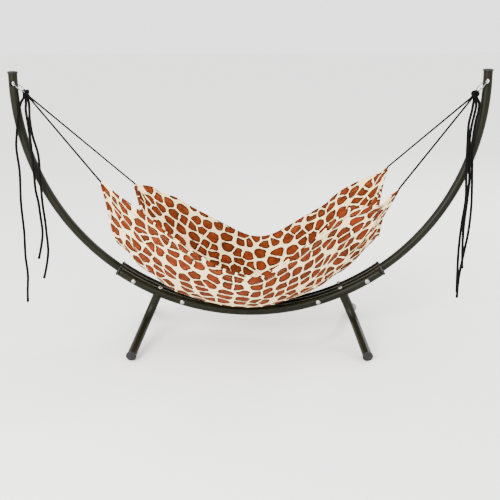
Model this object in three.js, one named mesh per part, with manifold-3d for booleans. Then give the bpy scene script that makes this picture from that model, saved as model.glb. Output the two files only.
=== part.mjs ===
import * as THREE from 'three';
import { mergeVertices } from 'three/addons/utils/BufferGeometryUtils.js';
import Module from 'manifold-3d';

// Pet hammock: a cloth sling hung on cords inside a half-circle of steel tube.
// Millimetres, +Z up, +X to the right, -Y to the front, origin on the floor below the middle.

const wasm = await Module();
wasm.setup();

// Clearances
const PIECE_GAP = 0.3;
const CUT_OVERRUN = 4;

// Steel tube used for every tubular piece
const TUBE_OD = 18;
const TUBE_WALL = 1.2;
const TUBE_SIDES = 12;
const BORE_SIDES = 8;

// Main arc, made of two halves that meet at the lowest point
const ARC_RADIUS = 458;
const ARC_FLOOR_CLEARANCE = 49;
const TIP_STRAIGHT = 17.5;
const ARC_HALF_STEPS = 16;
const RING_HOLE_D = 10;
const RING_HOLE_SIDES = 16;
const RING_HOLE_BELOW_END = 19;

// Splice arcs, one in front of the main arc and one behind it
const ARC_PITCH = 20;
const SPLICE_HALF_DEG = 35.2;
const SPLICE_STEPS = 12;

// Horizontal bolts through all three arcs
const INNER_BOLT_DEG = 17.5;
const OUTER_BOLT_DEG = 30.9;
const BOLT_D = 5;
const BOLT_HEAD_D = 9.5;
const BOLT_HEAD_HEIGHT = 3;
const BOLT_END_REACH = 1.5;
const BOLT_SIDES = 8;
const NUT_ACROSS_FLATS = 8;
const NUT_THICKNESS = 4.5;
const SPACER_OD = 11;

// Plastic plugs in the tube ends
const PLUG_FLANGE_D = 20.4;
const PLUG_FLANGE_EDGE = 3;
const PLUG_DOME = 5;
const PLUG_SPIGOT_LENGTH = 8;
const PLUG_SPIGOT_PLAY = 0.6;
const PLUG_SIDES = 12;

// Legs: bolted to the splice arcs, bent forwards or backwards onto the floor
const LEG_BOLT_DEG = 24;
const LEG_TOP_STRAIGHT = 13;
const LEG_BEND_RADIUS = 46;
const LEG_BEND_DEG = 72.5;
const LEG_BEND_STEPS = 6;
const LEG_INSERT_LENGTH = 12;
const FOOT_FLAT_DEPTH = 0.6;

// Wire rings and the knots on them
const RING_OD = 32;
const RING_WIRE_D = 2;
const RING_STEPS = 20;
const RING_WIRE_SIDES = 6;
const RING_PLAY = 0.8;
const LEFT_PULL_DEG = 40;
const RIGHT_PULL_DEG = 48;
const LEFT_KNOT_DISTANCE = 30;
const RIGHT_KNOT_DISTANCE = 33;
const KNOT_WIDTH = 15;
const KNOT_DIAMETER = 19;
const KNOT_SIDES = 12;

// Cord
const END_CORD_D = 2.8;
const TAIL_D = 4;
const CORD_SIDES = 8;
const CORD_TURN_LENGTH = 8;
const CORD_TURN_STEPS = 4;
const CORD_STEP_DIAMETERS = 3;

// Hem tunnels on the short edges of the cloth
const HEM_OD = 7;
const HEM_BORE = 4.4;
const HEM_START = 9;
const HEM_STEPS = 18;

// Cloth panel
const PANEL_THICKNESS = 2;
const PANEL_LENGTH_STEPS = 28;
const PANEL_HEM_GAP = 1.2;
const SEAM_SEARCH_SHARE = 5e-4;
const PANEL_MID_HALF_WIDTH = 148;
const PANEL_BED_HEIGHT = 71;
const FRONT_EDGE_DEPTH = 166;
const REAR_EDGE_DEPTH = 136;

// Corners of the cloth and the lowest points of its short edges
const FRONT_LEFT_CORNER = new THREE.Vector3(-271, -125, 341);
const REAR_LEFT_CORNER = new THREE.Vector3(-251, 125, 298);
const FRONT_RIGHT_CORNER = new THREE.Vector3(277, -125, 329);
const REAR_RIGHT_CORNER = new THREE.Vector3(292, 125, 332);
const LEFT_HEM_LOW = new THREE.Vector3(-243, 0, 194);
const RIGHT_HEM_LOW = new THREE.Vector3(257, 0, 212);

// How far the short edges lean out in front of their lowest points, and in behind them
const LEFT_HEM_SWAY = 15.7;
const RIGHT_HEM_SWAY = 4.4;

// Shapes of the cloth's edges, as exponents of smooth curves
const HEM_PULL_SHARE = 4;
const FRONT_LEFT_HEM_SHARE = 2.3;
const REAR_LEFT_HEM_SHARE = 1.9;
const FRONT_RIGHT_HEM_SHARE = 1.6;
const REAR_RIGHT_HEM_SHARE = 2.3;
const SECTION_CURVE_SHARE = 2.2;
const LEFT_BED_CURVE_SHARE = 2.47;
const RIGHT_BED_CURVE_SHARE = 2.12;

// How far the long edges hang: pairs of a share of the length and a share of the edge's depth
const FRONT_EDGE_SHARES = [
  [0, 0], [0.106, 0.21], [0.244, 0.56], [0.35, 0.8], [0.403, 0.9], [0.472, 0.97], [0.529, 1],
  [0.593, 0.865], [0.638, 0.75], [0.684, 0.62], [0.729, 0.5], [0.78, 0.33], [0.813, 0.22],
  [0.85, 0.175], [0.935, 0.157], [0.96, 0.07], [1, 0],
];
const REAR_EDGE_SHARES = [
  [0, 0], [0.068, 0.047], [0.107, 0.147], [0.173, 0.27], [0.223, 0.42], [0.295, 0.6],
  [0.361, 0.765], [0.44, 0.94], [0.5, 1], [0.56, 0.95], [0.65, 0.76], [0.757, 0.515],
  [0.788, 0.4], [0.827, 0.29], [0.871, 0.2], [0.923, 0.11], [0.972, 0.066], [1, 0],
];

// Folds that run out from the corners into the cloth
const FOLD_HEIGHT = 7;
const FOLD_REACH = 170;
const FOLDS_PER_CORNER = 4;

const arcCentreZ = ARC_FLOOR_CLEARANCE + ARC_RADIUS + TUBE_OD / 2;
const tubeBore = TUBE_OD - 2 * TUBE_WALL;
const boreInradius = (tubeBore / 2) * Math.cos(Math.PI / BORE_SIDES);
const boltHoleD = BOLT_D + 2 * PIECE_GAP;
const spliceSeat = ARC_PITCH + TUBE_OD / 2 + PIECE_GAP;
const radians = THREE.MathUtils.degToRad;
const spliceStepHeight = ARC_RADIUS * (1 - Math.cos(radians(SPLICE_HALF_DEG) / SPLICE_STEPS));
const UP = new THREE.Vector3(0, 1, 0);

const paintedSteel = { color: 0x3a3a30, roughness: 0.45, metalness: 0.6 };
const blackPlastic = { color: 0x1c1c1c, roughness: 0.6, metalness: 0 };
const brightSteel = { color: 0xc9c9c6, roughness: 0.3, metalness: 1 };
const blackCord = { color: 0x262324, roughness: 0.9, metalness: 0 };
const printedCloth = { color: 0xb5694a, roughness: 0.95, metalness: 0 };

// A path through given points, with one extrusion step from each point to the next.
// Its end faces are square to the given directions, or else to the first and last step.
class PointPath extends THREE.Curve {
  constructor(points, startDirection, endDirection) {
    super();
    this.points = points;
    this.directions = points.map((point, i) => {
      const next = points[Math.min(i + 1, points.length - 1)].clone().sub(point).normalize();
      const previous = point.clone().sub(points[Math.max(i - 1, 0)]).normalize();
      return next.add(previous).normalize();
    });
    if (startDirection) this.directions[0] = startDirection;
    if (endDirection) this.directions[points.length - 1] = endDirection;
  }

  getPoint(t, target = new THREE.Vector3()) {
    const last = this.points.length - 1;
    const place = Math.min(Math.max(t, 0), 1) * last;
    const index = Math.min(Math.floor(place), last - 1);
    return target.lerpVectors(this.points[index], this.points[index + 1], place - index);
  }

  getPointAt(u, target) {
    return this.getPoint(u, target);
  }

  getTangentAt(u, target = new THREE.Vector3()) {
    return target.copy(this.directions[Math.round(u * (this.points.length - 1))]);
  }
}

function circleShape(diameter, sides, holeDiameter = 0, holeSides = sides) {
  const shape = new THREE.Shape(circlePoints(diameter, sides));
  if (holeDiameter > 0) shape.holes.push(new THREE.Path(circlePoints(holeDiameter, holeSides)));
  return shape;
}

function circlePoints(diameter, sides) {
  const points = [];
  for (let i = 0; i < sides; i += 1) {
    const angle = (i / sides) * 2 * Math.PI;
    points.push(new THREE.Vector2(Math.cos(angle), Math.sin(angle)).multiplyScalar(diameter / 2));
  }
  return points;
}

function sweep(points, shape, startDirection, endDirection) {
  const extrudePath = new PointPath(points, startDirection, endDirection);
  return new THREE.ExtrudeGeometry(shape, { steps: points.length - 1, extrudePath, bevelEnabled: false });
}

function toManifold(geometry) {
  const bare = new THREE.BufferGeometry();
  bare.setAttribute('position', geometry.getAttribute('position').clone());
  if (geometry.index) bare.setIndex(geometry.index.clone());
  const merged = mergeVertices(bare);
  const vertProperties = new Float32Array(merged.getAttribute('position').array);
  const triVerts = new Uint32Array(merged.index.array);
  return new wasm.Manifold(new wasm.Mesh({ numProp: 3, vertProperties, triVerts }));
}

function fromManifold(solid) {
  const { vertProperties, triVerts } = solid.getMesh();
  const geometry = new THREE.BufferGeometry();
  geometry.setAttribute('position', new THREE.BufferAttribute(vertProperties, 3));
  geometry.setIndex(new THREE.BufferAttribute(triVerts, 1));
  geometry.computeVertexNormals();
  return geometry;
}

function subtract(geometry, tools, additions = []) {
  let solid = toManifold(geometry);
  for (const addition of additions) solid = solid.add(toManifold(addition));
  for (const tool of tools) solid = solid.subtract(toManifold(tool));
  return fromManifold(solid);
}

function node(parent, name, geometry, finish) {
  const mesh = new THREE.Mesh(geometry, new THREE.MeshStandardMaterial(finish));
  mesh.name = name;
  parent.add(mesh);
  return mesh;
}

function group(parent) {
  const made = new THREE.Group();
  parent.add(made);
  return made;
}

function pointMesh(mesh, place, direction) {
  mesh.position.copy(place);
  mesh.quaternion.setFromUnitVectors(UP, direction.clone().normalize());
}

// A round cutter whose axis passes through a place in a direction, half its length to each side
function cutter(diameter, length, place, direction, cutSides = BOLT_SIDES) {
  const geometry = new THREE.CylinderGeometry(diameter / 2, diameter / 2, length, cutSides);
  const turn = new THREE.Quaternion().setFromUnitVectors(UP, direction.clone().normalize());
  return geometry.applyQuaternion(turn).translate(place.x, place.y, place.z);
}

function arcPoint(angle, y) {
  return new THREE.Vector3(ARC_RADIUS * Math.sin(angle), y, arcCentreZ - ARC_RADIUS * Math.cos(angle));
}

function arcPoints(fromAngle, toAngle, y, steps) {
  const points = [];
  for (let i = 0; i <= steps; i += 1) {
    points.push(arcPoint(fromAngle + ((toAngle - fromAngle) * i) / steps, y));
  }
  return points;
}

// Direction along the arc, towards the side that the angle grows to
function arcDirection(angle) {
  return new THREE.Vector3(Math.cos(angle), 0, Math.sin(angle));
}

function tubeSection() {
  return circleShape(TUBE_OD, TUBE_SIDES, tubeBore, BORE_SIDES);
}

function crossHole(place, diameter = boltHoleD, holeSides = BOLT_SIDES) {
  return cutter(diameter, TUBE_OD + CUT_OVERRUN, place, UP, holeSides);
}

// Plug with its seat at the origin and its domed flange along +Y
function plugGeometry() {
  const spigot = boreInradius - PLUG_SPIGOT_PLAY;
  const flange = PLUG_FLANGE_D / 2;
  const profile = [
    new THREE.Vector2(0, -PLUG_SPIGOT_LENGTH),
    new THREE.Vector2(spigot, -PLUG_SPIGOT_LENGTH),
    new THREE.Vector2(spigot, PIECE_GAP),
    new THREE.Vector2(flange, PIECE_GAP),
    new THREE.Vector2(flange, PIECE_GAP + PLUG_FLANGE_EDGE),
    new THREE.Vector2(flange * 0.7, PIECE_GAP + PLUG_DOME * 0.85),
    new THREE.Vector2(0, PIECE_GAP + PLUG_DOME),
  ];
  return new THREE.LatheGeometry(profile, PLUG_SIDES);
}

// Bolt with the seat of its domed head at the origin and its shank along +Y
function boltGeometry(shankLength) {
  const head = BOLT_HEAD_D / 2;
  const profile = [
    new THREE.Vector2(0, -BOLT_HEAD_HEIGHT),
    new THREE.Vector2(head * 0.6, -BOLT_HEAD_HEIGHT * 0.85),
    new THREE.Vector2(head, -BOLT_HEAD_HEIGHT * 0.3),
    new THREE.Vector2(head, 0),
    new THREE.Vector2(BOLT_D / 2, 0),
    new THREE.Vector2(BOLT_D / 2, shankLength),
    new THREE.Vector2(0, shankLength),
  ];
  return new THREE.LatheGeometry(profile, BOLT_SIDES);
}

// Ring of a given size with its axis along +Y and its first face at the origin
function washerGeometry(outerD, outerSides, boreD, thickness) {
  const shape = circleShape(outerD, outerSides, boreD, BOLT_SIDES);
  const geometry = new THREE.ExtrudeGeometry(shape, { depth: thickness, bevelEnabled: false });
  return geometry.rotateX(-Math.PI / 2);
}

const sides = [
  { name: 'left', sign: -1 },
  { name: 'right', sign: 1 },
];
const faces = [
  { name: 'front', sign: -1 },
  { name: 'rear', sign: 1 },
];
const boltPlaces = [
  { name: 'inner', angle: radians(INNER_BOLT_DEG) },
  { name: 'outer', angle: radians(OUTER_BOLT_DEG) },
];

const hammock = new THREE.Group();
const stand = group(hammock);
const sling = group(hammock);

function tipTop(sign) {
  return new THREE.Vector3(sign * ARC_RADIUS, 0, arcCentreZ + TIP_STRAIGHT);
}

function ringHole(sign) {
  const top = tipTop(sign);
  return new THREE.Vector3(top.x, 0, top.z - RING_HOLE_BELOW_END);
}

function addMainArc(side) {
  const joint = PIECE_GAP / 2 / ARC_RADIUS;
  const points = arcPoints(side.sign * joint, (side.sign * Math.PI) / 2, 0, ARC_HALF_STEPS);
  points.push(tipTop(side.sign));
  const straightTube = sweep(points, tubeSection(), new THREE.Vector3(side.sign, 0, 0));
  const tools = boltPlaces.map((bolt) => crossHole(arcPoint(side.sign * bolt.angle, 0)));
  tools.push(crossHole(ringHole(side.sign), RING_HOLE_D, RING_HOLE_SIDES));
  node(stand, `main_arc_${side.name}`, subtract(straightTube, tools), paintedSteel);
  const plug = node(stand, `${side.name}_tip_plug`, plugGeometry(), blackPlastic);
  plug.position.copy(tipTop(side.sign));
  plug.rotation.x = Math.PI / 2;
}

// Direction away from the arc's centre at a leg's bolt, in which the leg's top runs down
function legAxis(sign) {
  const angle = radians(LEG_BOLT_DEG);
  return new THREE.Vector3(sign * Math.sin(angle), 0, -Math.cos(angle));
}

function spliceTube(y, section) {
  const half = radians(SPLICE_HALF_DEG);
  const points = arcPoints(-half, half, y, SPLICE_STEPS);
  return sweep(points, section, arcDirection(-half), arcDirection(half));
}

function addSpliceArc(face) {
  const y = face.sign * ARC_PITCH;
  const half = radians(SPLICE_HALF_DEG);
  const tools = [];
  for (const side of sides) {
    for (const bolt of boltPlaces) tools.push(crossHole(arcPoint(side.sign * bolt.angle, y)));
    const seat = arcPoint(side.sign * radians(LEG_BOLT_DEG), y);
    tools.push(cutter(boltHoleD, TUBE_OD + CUT_OVERRUN, seat, legAxis(side.sign)));
  }
  const drilled = subtract(spliceTube(y, tubeSection()), tools);
  node(stand, `${face.name}_splice_arc`, drilled, paintedSteel);
  for (const side of sides) {
    const plug = node(stand, `${face.name}_${side.name}_splice_plug`, plugGeometry(), blackPlastic);
    const end = side.sign * half;
    pointMesh(plug, arcPoint(end, y), arcDirection(end).multiplyScalar(side.sign));
  }
}

function addSpliceBolt(side, bolt) {
  const place = arcPoint(side.sign * bolt.angle, -spliceSeat);
  const reach = 2 * spliceSeat + NUT_THICKNESS + BOLT_END_REACH;
  const screw = node(stand, `${side.name}_${bolt.name}_bolt`, boltGeometry(reach), brightSteel);
  screw.position.copy(place);
  const nutShape = washerGeometry(NUT_ACROSS_FLATS / Math.cos(Math.PI / 6), 6, boltHoleD, NUT_THICKNESS);
  const nut = node(stand, `${side.name}_${bolt.name}_nut`, nutShape, brightSteel);
  nut.position.set(place.x, spliceSeat, place.z);
  const thickness = ARC_PITCH - TUBE_OD - 2 * PIECE_GAP;
  for (const face of faces) {
    const shape = washerGeometry(SPACER_OD, BORE_SIDES, boltHoleD, thickness);
    const spacer = node(stand, `${side.name}_${bolt.name}_${face.name}_spacer`, shape, blackPlastic);
    spacer.position.set(place.x, (face.sign * ARC_PITCH) / 2 - thickness / 2, place.z);
  }
}

// Points down the middle of a leg, and the direction in which its foot end points
function legRoute(side, face) {
  const down = legAxis(side.sign);
  const out = new THREE.Vector3(0, face.sign, 0);
  const bend = radians(LEG_BEND_DEG);
  const start = arcPoint(side.sign * radians(LEG_BOLT_DEG), face.sign * ARC_PITCH);
  const bendStart = start.clone().addScaledVector(down, TUBE_OD / 2 + LEG_TOP_STRAIGHT);
  const points = [start];
  for (let i = 0; i <= LEG_BEND_STEPS; i += 1) {
    const angle = (bend * i) / LEG_BEND_STEPS;
    const point = bendStart.clone().addScaledVector(down, LEG_BEND_RADIUS * Math.sin(angle));
    points.push(point.addScaledVector(out, LEG_BEND_RADIUS * (1 - Math.cos(angle))));
  }
  const end = down.clone().multiplyScalar(Math.cos(bend)).addScaledVector(out, Math.sin(bend));
  const rimDrop = (PLUG_FLANGE_D / 2) * Math.hypot(end.x, end.y) - FOOT_FLAT_DEPTH;
  const plugDrop = (PIECE_GAP + PLUG_FLANGE_EDGE) * -end.z;
  const bendEnd = points[points.length - 1];
  const straight = (bendEnd.z - rimDrop - plugDrop) / -end.z;
  points.push(bendEnd.clone().addScaledVector(end, straight));
  return { points, end };
}

// Tube with a saddle at its top that fits the splice arc, and a threaded insert welded inside
function legGeometry(side, face, points) {
  const down = legAxis(side.sign);
  const insertD = TUBE_OD - TUBE_WALL;
  const insert = washerGeometry(insertD, BORE_SIDES, boltHoleD, LEG_INSERT_LENGTH + TUBE_OD / 2);
  const turn = new THREE.Quaternion().setFromUnitVectors(UP, down);
  insert.applyQuaternion(turn).translate(points[0].x, points[0].y, points[0].z);
  const saddle = spliceTube(face.sign * ARC_PITCH, circleShape(TUBE_OD + 2 * PIECE_GAP, TUBE_SIDES));
  return subtract(sweep(points, tubeSection()), [saddle], [insert]);
}

function addLeg(side, face) {
  const name = `${face.name}_${side.name}`;
  const { points, end } = legRoute(side, face);
  const down = legAxis(side.sign);
  node(stand, `${name}_leg`, legGeometry(side, face, points), paintedSteel);

  const seatDistance = TUBE_OD / 2 + PIECE_GAP + spliceStepHeight;
  const headSeat = points[0].clone().addScaledVector(down, -seatDistance);
  const reach = seatDistance + TUBE_OD / 2 + LEG_INSERT_LENGTH - PIECE_GAP;
  const screw = node(stand, `${name}_leg_bolt`, boltGeometry(reach), brightSteel);
  pointMesh(screw, headSeat, down);

  const foot = plugGeometry();
  const turn = new THREE.Quaternion().setFromUnitVectors(UP, end);
  const seat = points[points.length - 1];
  foot.applyQuaternion(turn).translate(seat.x, seat.y, seat.z);
  const floor = new THREE.BoxGeometry(PLUG_FLANGE_D * 2, PLUG_FLANGE_D * 2, PLUG_FLANGE_D);
  floor.translate(seat.x, seat.y, -PLUG_FLANGE_D / 2);
  node(stand, `${name}_foot_plug`, subtract(foot, [floor]), blackPlastic);
}

function pullDirection(sign) {
  const angle = radians(sign < 0 ? LEFT_PULL_DEG : RIGHT_PULL_DEG);
  return new THREE.Vector3(-sign * Math.cos(angle), 0, -Math.sin(angle));
}

function knotCentre(sign) {
  const distance = sign < 0 ? LEFT_KNOT_DISTANCE : RIGHT_KNOT_DISTANCE;
  return ringHole(sign).addScaledVector(pullDirection(sign), distance);
}

// Ring in the plane of the pull and the Y axis. Its wire lies at the inner rim of the hole, at mid
// height, with play to swing.
function ringGeometry(sign, wireD) {
  const radius = (RING_OD - RING_WIRE_D) / 2;
  const pull = pullDirection(sign);
  const wallReach = (TUBE_OD - TUBE_WALL) / 2;
  const seat = RING_HOLE_D / 2 - RING_WIRE_D / 2 - RING_PLAY;
  const centre = ringHole(sign).addScaledVector(pull, Math.sqrt(radius ** 2 - wallReach ** 2));
  centre.x -= sign * seat;
  const normal = new THREE.Vector3().crossVectors(pull, UP);
  const turn = new THREE.Matrix4().makeBasis(pull, UP, normal);
  const geometry = new THREE.TorusGeometry(radius, wireD / 2, RING_WIRE_SIDES, RING_STEPS);
  return geometry.applyMatrix4(turn).translate(centre.x, centre.y, centre.z);
}

function addRingAndKnot(side) {
  node(sling, `${side.name}_ring`, ringGeometry(side.sign, RING_WIRE_D), brightSteel);
  const lump = new THREE.SphereGeometry(1, KNOT_SIDES, KNOT_SIDES / 2).rotateZ(Math.PI / 2);
  lump.scale(KNOT_WIDTH / 2, KNOT_DIAMETER / 2, KNOT_DIAMETER / 2);
  const centre = knotCentre(side.sign);
  lump.translate(centre.x, centre.y, centre.z);
  const wireRoom = ringGeometry(side.sign, RING_WIRE_D + 2 * PIECE_GAP);
  node(sling, `${side.name}_knot`, subtract(lump, [wireRoom]), blackCord);
}

const hemEnds = {
  left: { front: FRONT_LEFT_CORNER, low: LEFT_HEM_LOW, rear: REAR_LEFT_CORNER },
  right: { front: FRONT_RIGHT_CORNER, low: RIGHT_HEM_LOW, rear: REAR_RIGHT_CORNER },
};
const hemCurves = {
  left: { front: FRONT_LEFT_HEM_SHARE, rear: REAR_LEFT_HEM_SHARE, sway: LEFT_HEM_SWAY },
  right: { front: FRONT_RIGHT_HEM_SHARE, rear: REAR_RIGHT_HEM_SHARE, sway: RIGHT_HEM_SWAY },
};

// Exponent of the rise of a short edge from its lowest point to the nearer corner
function hemShare(sideName, across) {
  return hemCurves[sideName][across < 0 ? 'front' : 'rear'];
}

// Place on the middle line of a short edge, from -1 at the front corner to 1 at the rear
function hemPoint(sideName, across) {
  const { front, low, rear } = hemEnds[sideName];
  const corner = across < 0 ? front : rear;
  const away = Math.abs(across);
  const lean = hemCurves[sideName].sway * Math.sin(Math.PI * across);
  return new THREE.Vector3(
    THREE.MathUtils.lerp(low.x, corner.x, away ** HEM_PULL_SHARE) + lean,
    THREE.MathUtils.lerp(low.y, corner.y, away),
    THREE.MathUtils.lerp(low.z, corner.z, away ** hemShare(sideName, across)),
  );
}

// Positions across the cloth, closer together towards the steep front and rear
function acrossPositions() {
  const places = [];
  for (let i = 0; i <= HEM_STEPS; i += 1) {
    const even = (2 * i) / HEM_STEPS - 1;
    places.push(Math.sign(even) * Math.abs(even) ** 0.8);
  }
  return places;
}

function distanceToCorner(sideName, across) {
  const { front, rear } = hemEnds[sideName];
  return hemPoint(sideName, across).distanceTo(across < 0 ? front : rear);
}

function hemRoute(sideName) {
  const kept = acrossPositions().filter((across) => distanceToCorner(sideName, across) > HEM_START);
  return kept.map((across) => hemPoint(sideName, across));
}

// Surface of the knot in a direction from its centre, with the clearance added
function knotExit(sign, target) {
  const centre = knotCentre(sign);
  const direction = target.clone().sub(centre).normalize();
  const sideways = Math.hypot(direction.y, direction.z);
  const radius = 1 / Math.hypot(direction.x / (KNOT_WIDTH / 2), sideways / (KNOT_DIAMETER / 2));
  return centre.addScaledVector(direction, radius + PIECE_GAP);
}

// Points round a corner, starting and ending a turn length away from it
function cordTurn(before, corner, after) {
  const from = corner.clone().addScaledVector(before.clone().sub(corner).normalize(), CORD_TURN_LENGTH);
  const to = corner.clone().addScaledVector(after.clone().sub(corner).normalize(), CORD_TURN_LENGTH);
  const curve = new THREE.QuadraticBezierCurve3(from, corner, to);
  return curve.getPoints(CORD_TURN_STEPS);
}

// Cord in the hem, out of both corners and a little way towards the knot
function hemCordRoute(side) {
  const { front, rear } = hemEnds[side.name];
  const hem = hemRoute(side.name);
  return [
    ...cordTurn(knotExit(side.sign, front), front, hem[0]),
    ...hem,
    ...cordTurn(hem[hem.length - 1], rear, knotExit(side.sign, rear)),
  ];
}

// Straight stretch of cord from the knot to the end of the hem cord
function lineRoute(sign, corner) {
  const start = knotExit(sign, corner);
  const finish = corner.clone();
  finish.addScaledVector(start.clone().sub(corner).normalize(), CORD_TURN_LENGTH + PIECE_GAP);
  const steps = Math.ceil(start.distanceTo(finish) / (CORD_STEP_DIAMETERS * END_CORD_D));
  return new THREE.LineCurve3(start, finish).getSpacedPoints(steps);
}

function addEndCord(side) {
  const section = circleShape(END_CORD_D, CORD_SIDES);
  node(sling, `${side.name}_hem_cord`, sweep(hemCordRoute(side), section), blackCord);
  for (const face of faces) {
    const line = sweep(lineRoute(side.sign, hemEnds[side.name][face.name]), section);
    node(sling, `${side.name}_${face.name}_line`, line, blackCord);
  }
  const hem = sweep(hemRoute(side.name), circleShape(HEM_OD, CORD_SIDES, HEM_BORE, CORD_SIDES));
  node(sling, `${side.name}_hem`, hem, printedCloth);
}

function shareCurve(pairs) {
  const places = pairs.map(([along]) => along);
  const values = pairs.map(([, drop]) => drop);
  return new THREE.CubicInterpolant(places, values, 1, []);
}

const edges = {
  front: { depth: FRONT_EDGE_DEPTH, curve: shareCurve(FRONT_EDGE_SHARES) },
  rear: { depth: REAR_EDGE_DEPTH, curve: shareCurve(REAR_EDGE_SHARES) },
};

function edgeHeight(edge, along) {
  const line = THREE.MathUtils.lerp(hemEnds.left[edge].z, hemEnds.right[edge].z, along);
  return line - edges[edge].depth * edges[edge].curve.evaluate(along)[0];
}

function bedHeight(along) {
  const end = along < 0.5 ? hemEnds.left.low.z : hemEnds.right.low.z;
  const share = along < 0.5 ? LEFT_BED_CURVE_SHARE : RIGHT_BED_CURVE_SHARE;
  return THREE.MathUtils.lerp(PANEL_BED_HEIGHT, end, Math.abs(2 * along - 1) ** share);
}

// Place on the cloth: along it from 0 to 1, and across it from -1 in front to 1 at the rear
function clothPoint(along, across) {
  const left = hemPoint('left', across);
  const right = hemPoint('right', across);
  const middle = Math.sin(Math.PI * along);
  const halfWidth = Math.abs(hemEnds.left.front.y);
  const spread = THREE.MathUtils.lerp(1, PANEL_MID_HALF_WIDTH / halfWidth, middle);
  const endCurve = hemShare(along < 0.5 ? 'left' : 'right', across);
  const curve = THREE.MathUtils.lerp(endCurve, SECTION_CURVE_SHARE, middle);
  const rim = edgeHeight(across < 0 ? 'front' : 'rear', along);
  const x = THREE.MathUtils.lerp(left.x, right.x, along);
  const y = THREE.MathUtils.lerp(left.y, right.y, along) * spread;
  const z = THREE.MathUtils.lerp(bedHeight(along), rim, Math.abs(across) ** curve);
  return new THREE.Vector3(x, y, z + foldHeight(x, y, along));
}

// Height of the folds that fan out from the nearest corner
function foldHeight(x, y, along) {
  const side = along < 0.5 ? 'left' : 'right';
  const corner = y < 0 ? hemEnds[side].front : hemEnds[side].rear;
  const inward = Math.abs(x - corner.x);
  const sideways = Math.abs(y - corner.y);
  const distance = Math.hypot(inward, sideways);
  const turn = Math.atan2(sideways, inward) / (Math.PI / 2);
  const fade = Math.exp(-((distance / FOLD_REACH) ** 2)) * Math.min(1, distance / (FOLD_REACH / 3));
  const edgeFade = Math.sin(Math.PI * Math.min(1, Math.max(0, turn)));
  return FOLD_HEIGHT * fade * edgeFade * Math.cos(2 * Math.PI * FOLDS_PER_CORNER * turn);
}

function clothNormal(along, across) {
  const step = 1e-3;
  const a = clothPoint(Math.max(along - step, 0), across);
  const b = clothPoint(Math.min(along + step, 1), across);
  const c = clothPoint(along, Math.max(across - step, -1));
  const d = clothPoint(along, Math.min(across + step, 1));
  return b.sub(a).cross(d.sub(c)).normalize();
}

function distanceToHem(sideName, point) {
  const route = acrossPositions().map((across) => hemPoint(sideName, across));
  const stretch = new THREE.Line3();
  const nearest = new THREE.Vector3();
  let least = Infinity;
  for (let i = 1; i < route.length; i += 1) {
    stretch.set(route[i - 1], route[i]).closestPointToPoint(point, true, nearest);
    least = Math.min(least, nearest.distanceTo(point));
  }
  return least;
}

// Share of the cloth's length at which it is clear of the hem on one side
function seamShare(side, across) {
  const seam = HEM_OD / 2 + PANEL_HEM_GAP;
  const along = (share) => (side.sign < 0 ? share : 1 - share);
  let share = 0;
  while (distanceToHem(side.name, clothPoint(along(share), across)) < seam) share += SEAM_SEARCH_SHARE;
  return along(share);
}

// Closed sheet: an upper and a lower grid of points, joined round the rim
function addPanel() {
  const acrosses = acrossPositions();
  const rows = acrosses.length;
  const columns = PANEL_LENGTH_STEPS + 1;
  const positions = [];
  for (const half of [PANEL_THICKNESS / 2, -PANEL_THICKNESS / 2]) {
    for (const across of acrosses) {
      const [start, end] = sides.map((side) => seamShare(side, across));
      for (let i = 0; i < columns; i += 1) {
        const along = THREE.MathUtils.lerp(start, end, i / PANEL_LENGTH_STEPS);
        const point = clothPoint(along, across).addScaledVector(clothNormal(along, across), half);
        positions.push(point.x, point.y, point.z);
      }
    }
  }
  const layer = rows * columns;
  const index = [];
  const quad = (a, b, c, d) => index.push(a, b, c, a, c, d);
  for (let r = 0; r < rows - 1; r += 1) {
    for (let i = 0; i < columns - 1; i += 1) {
      const a = r * columns + i;
      quad(a, a + 1, a + columns + 1, a + columns);
      quad(layer + a + columns, layer + a + columns + 1, layer + a + 1, layer + a);
    }
  }
  for (let i = 0; i < columns - 1; i += 1) {
    const top = (rows - 1) * columns + i;
    quad(layer + i, layer + i + 1, i + 1, i);
    quad(top, top + 1, layer + top + 1, layer + top);
  }
  for (let r = 0; r < rows - 1; r += 1) {
    const first = r * columns;
    const last = first + columns - 1;
    quad(first, first + columns, layer + first + columns, layer + first);
    quad(layer + last, layer + last + columns, last + columns, last);
  }
  const geometry = new THREE.BufferGeometry();
  geometry.setAttribute('position', new THREE.Float32BufferAttribute(positions, 3));
  geometry.setIndex(index);
  geometry.computeVertexNormals();
  node(sling, 'sling_panel', geometry, printedCloth);
}

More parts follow.
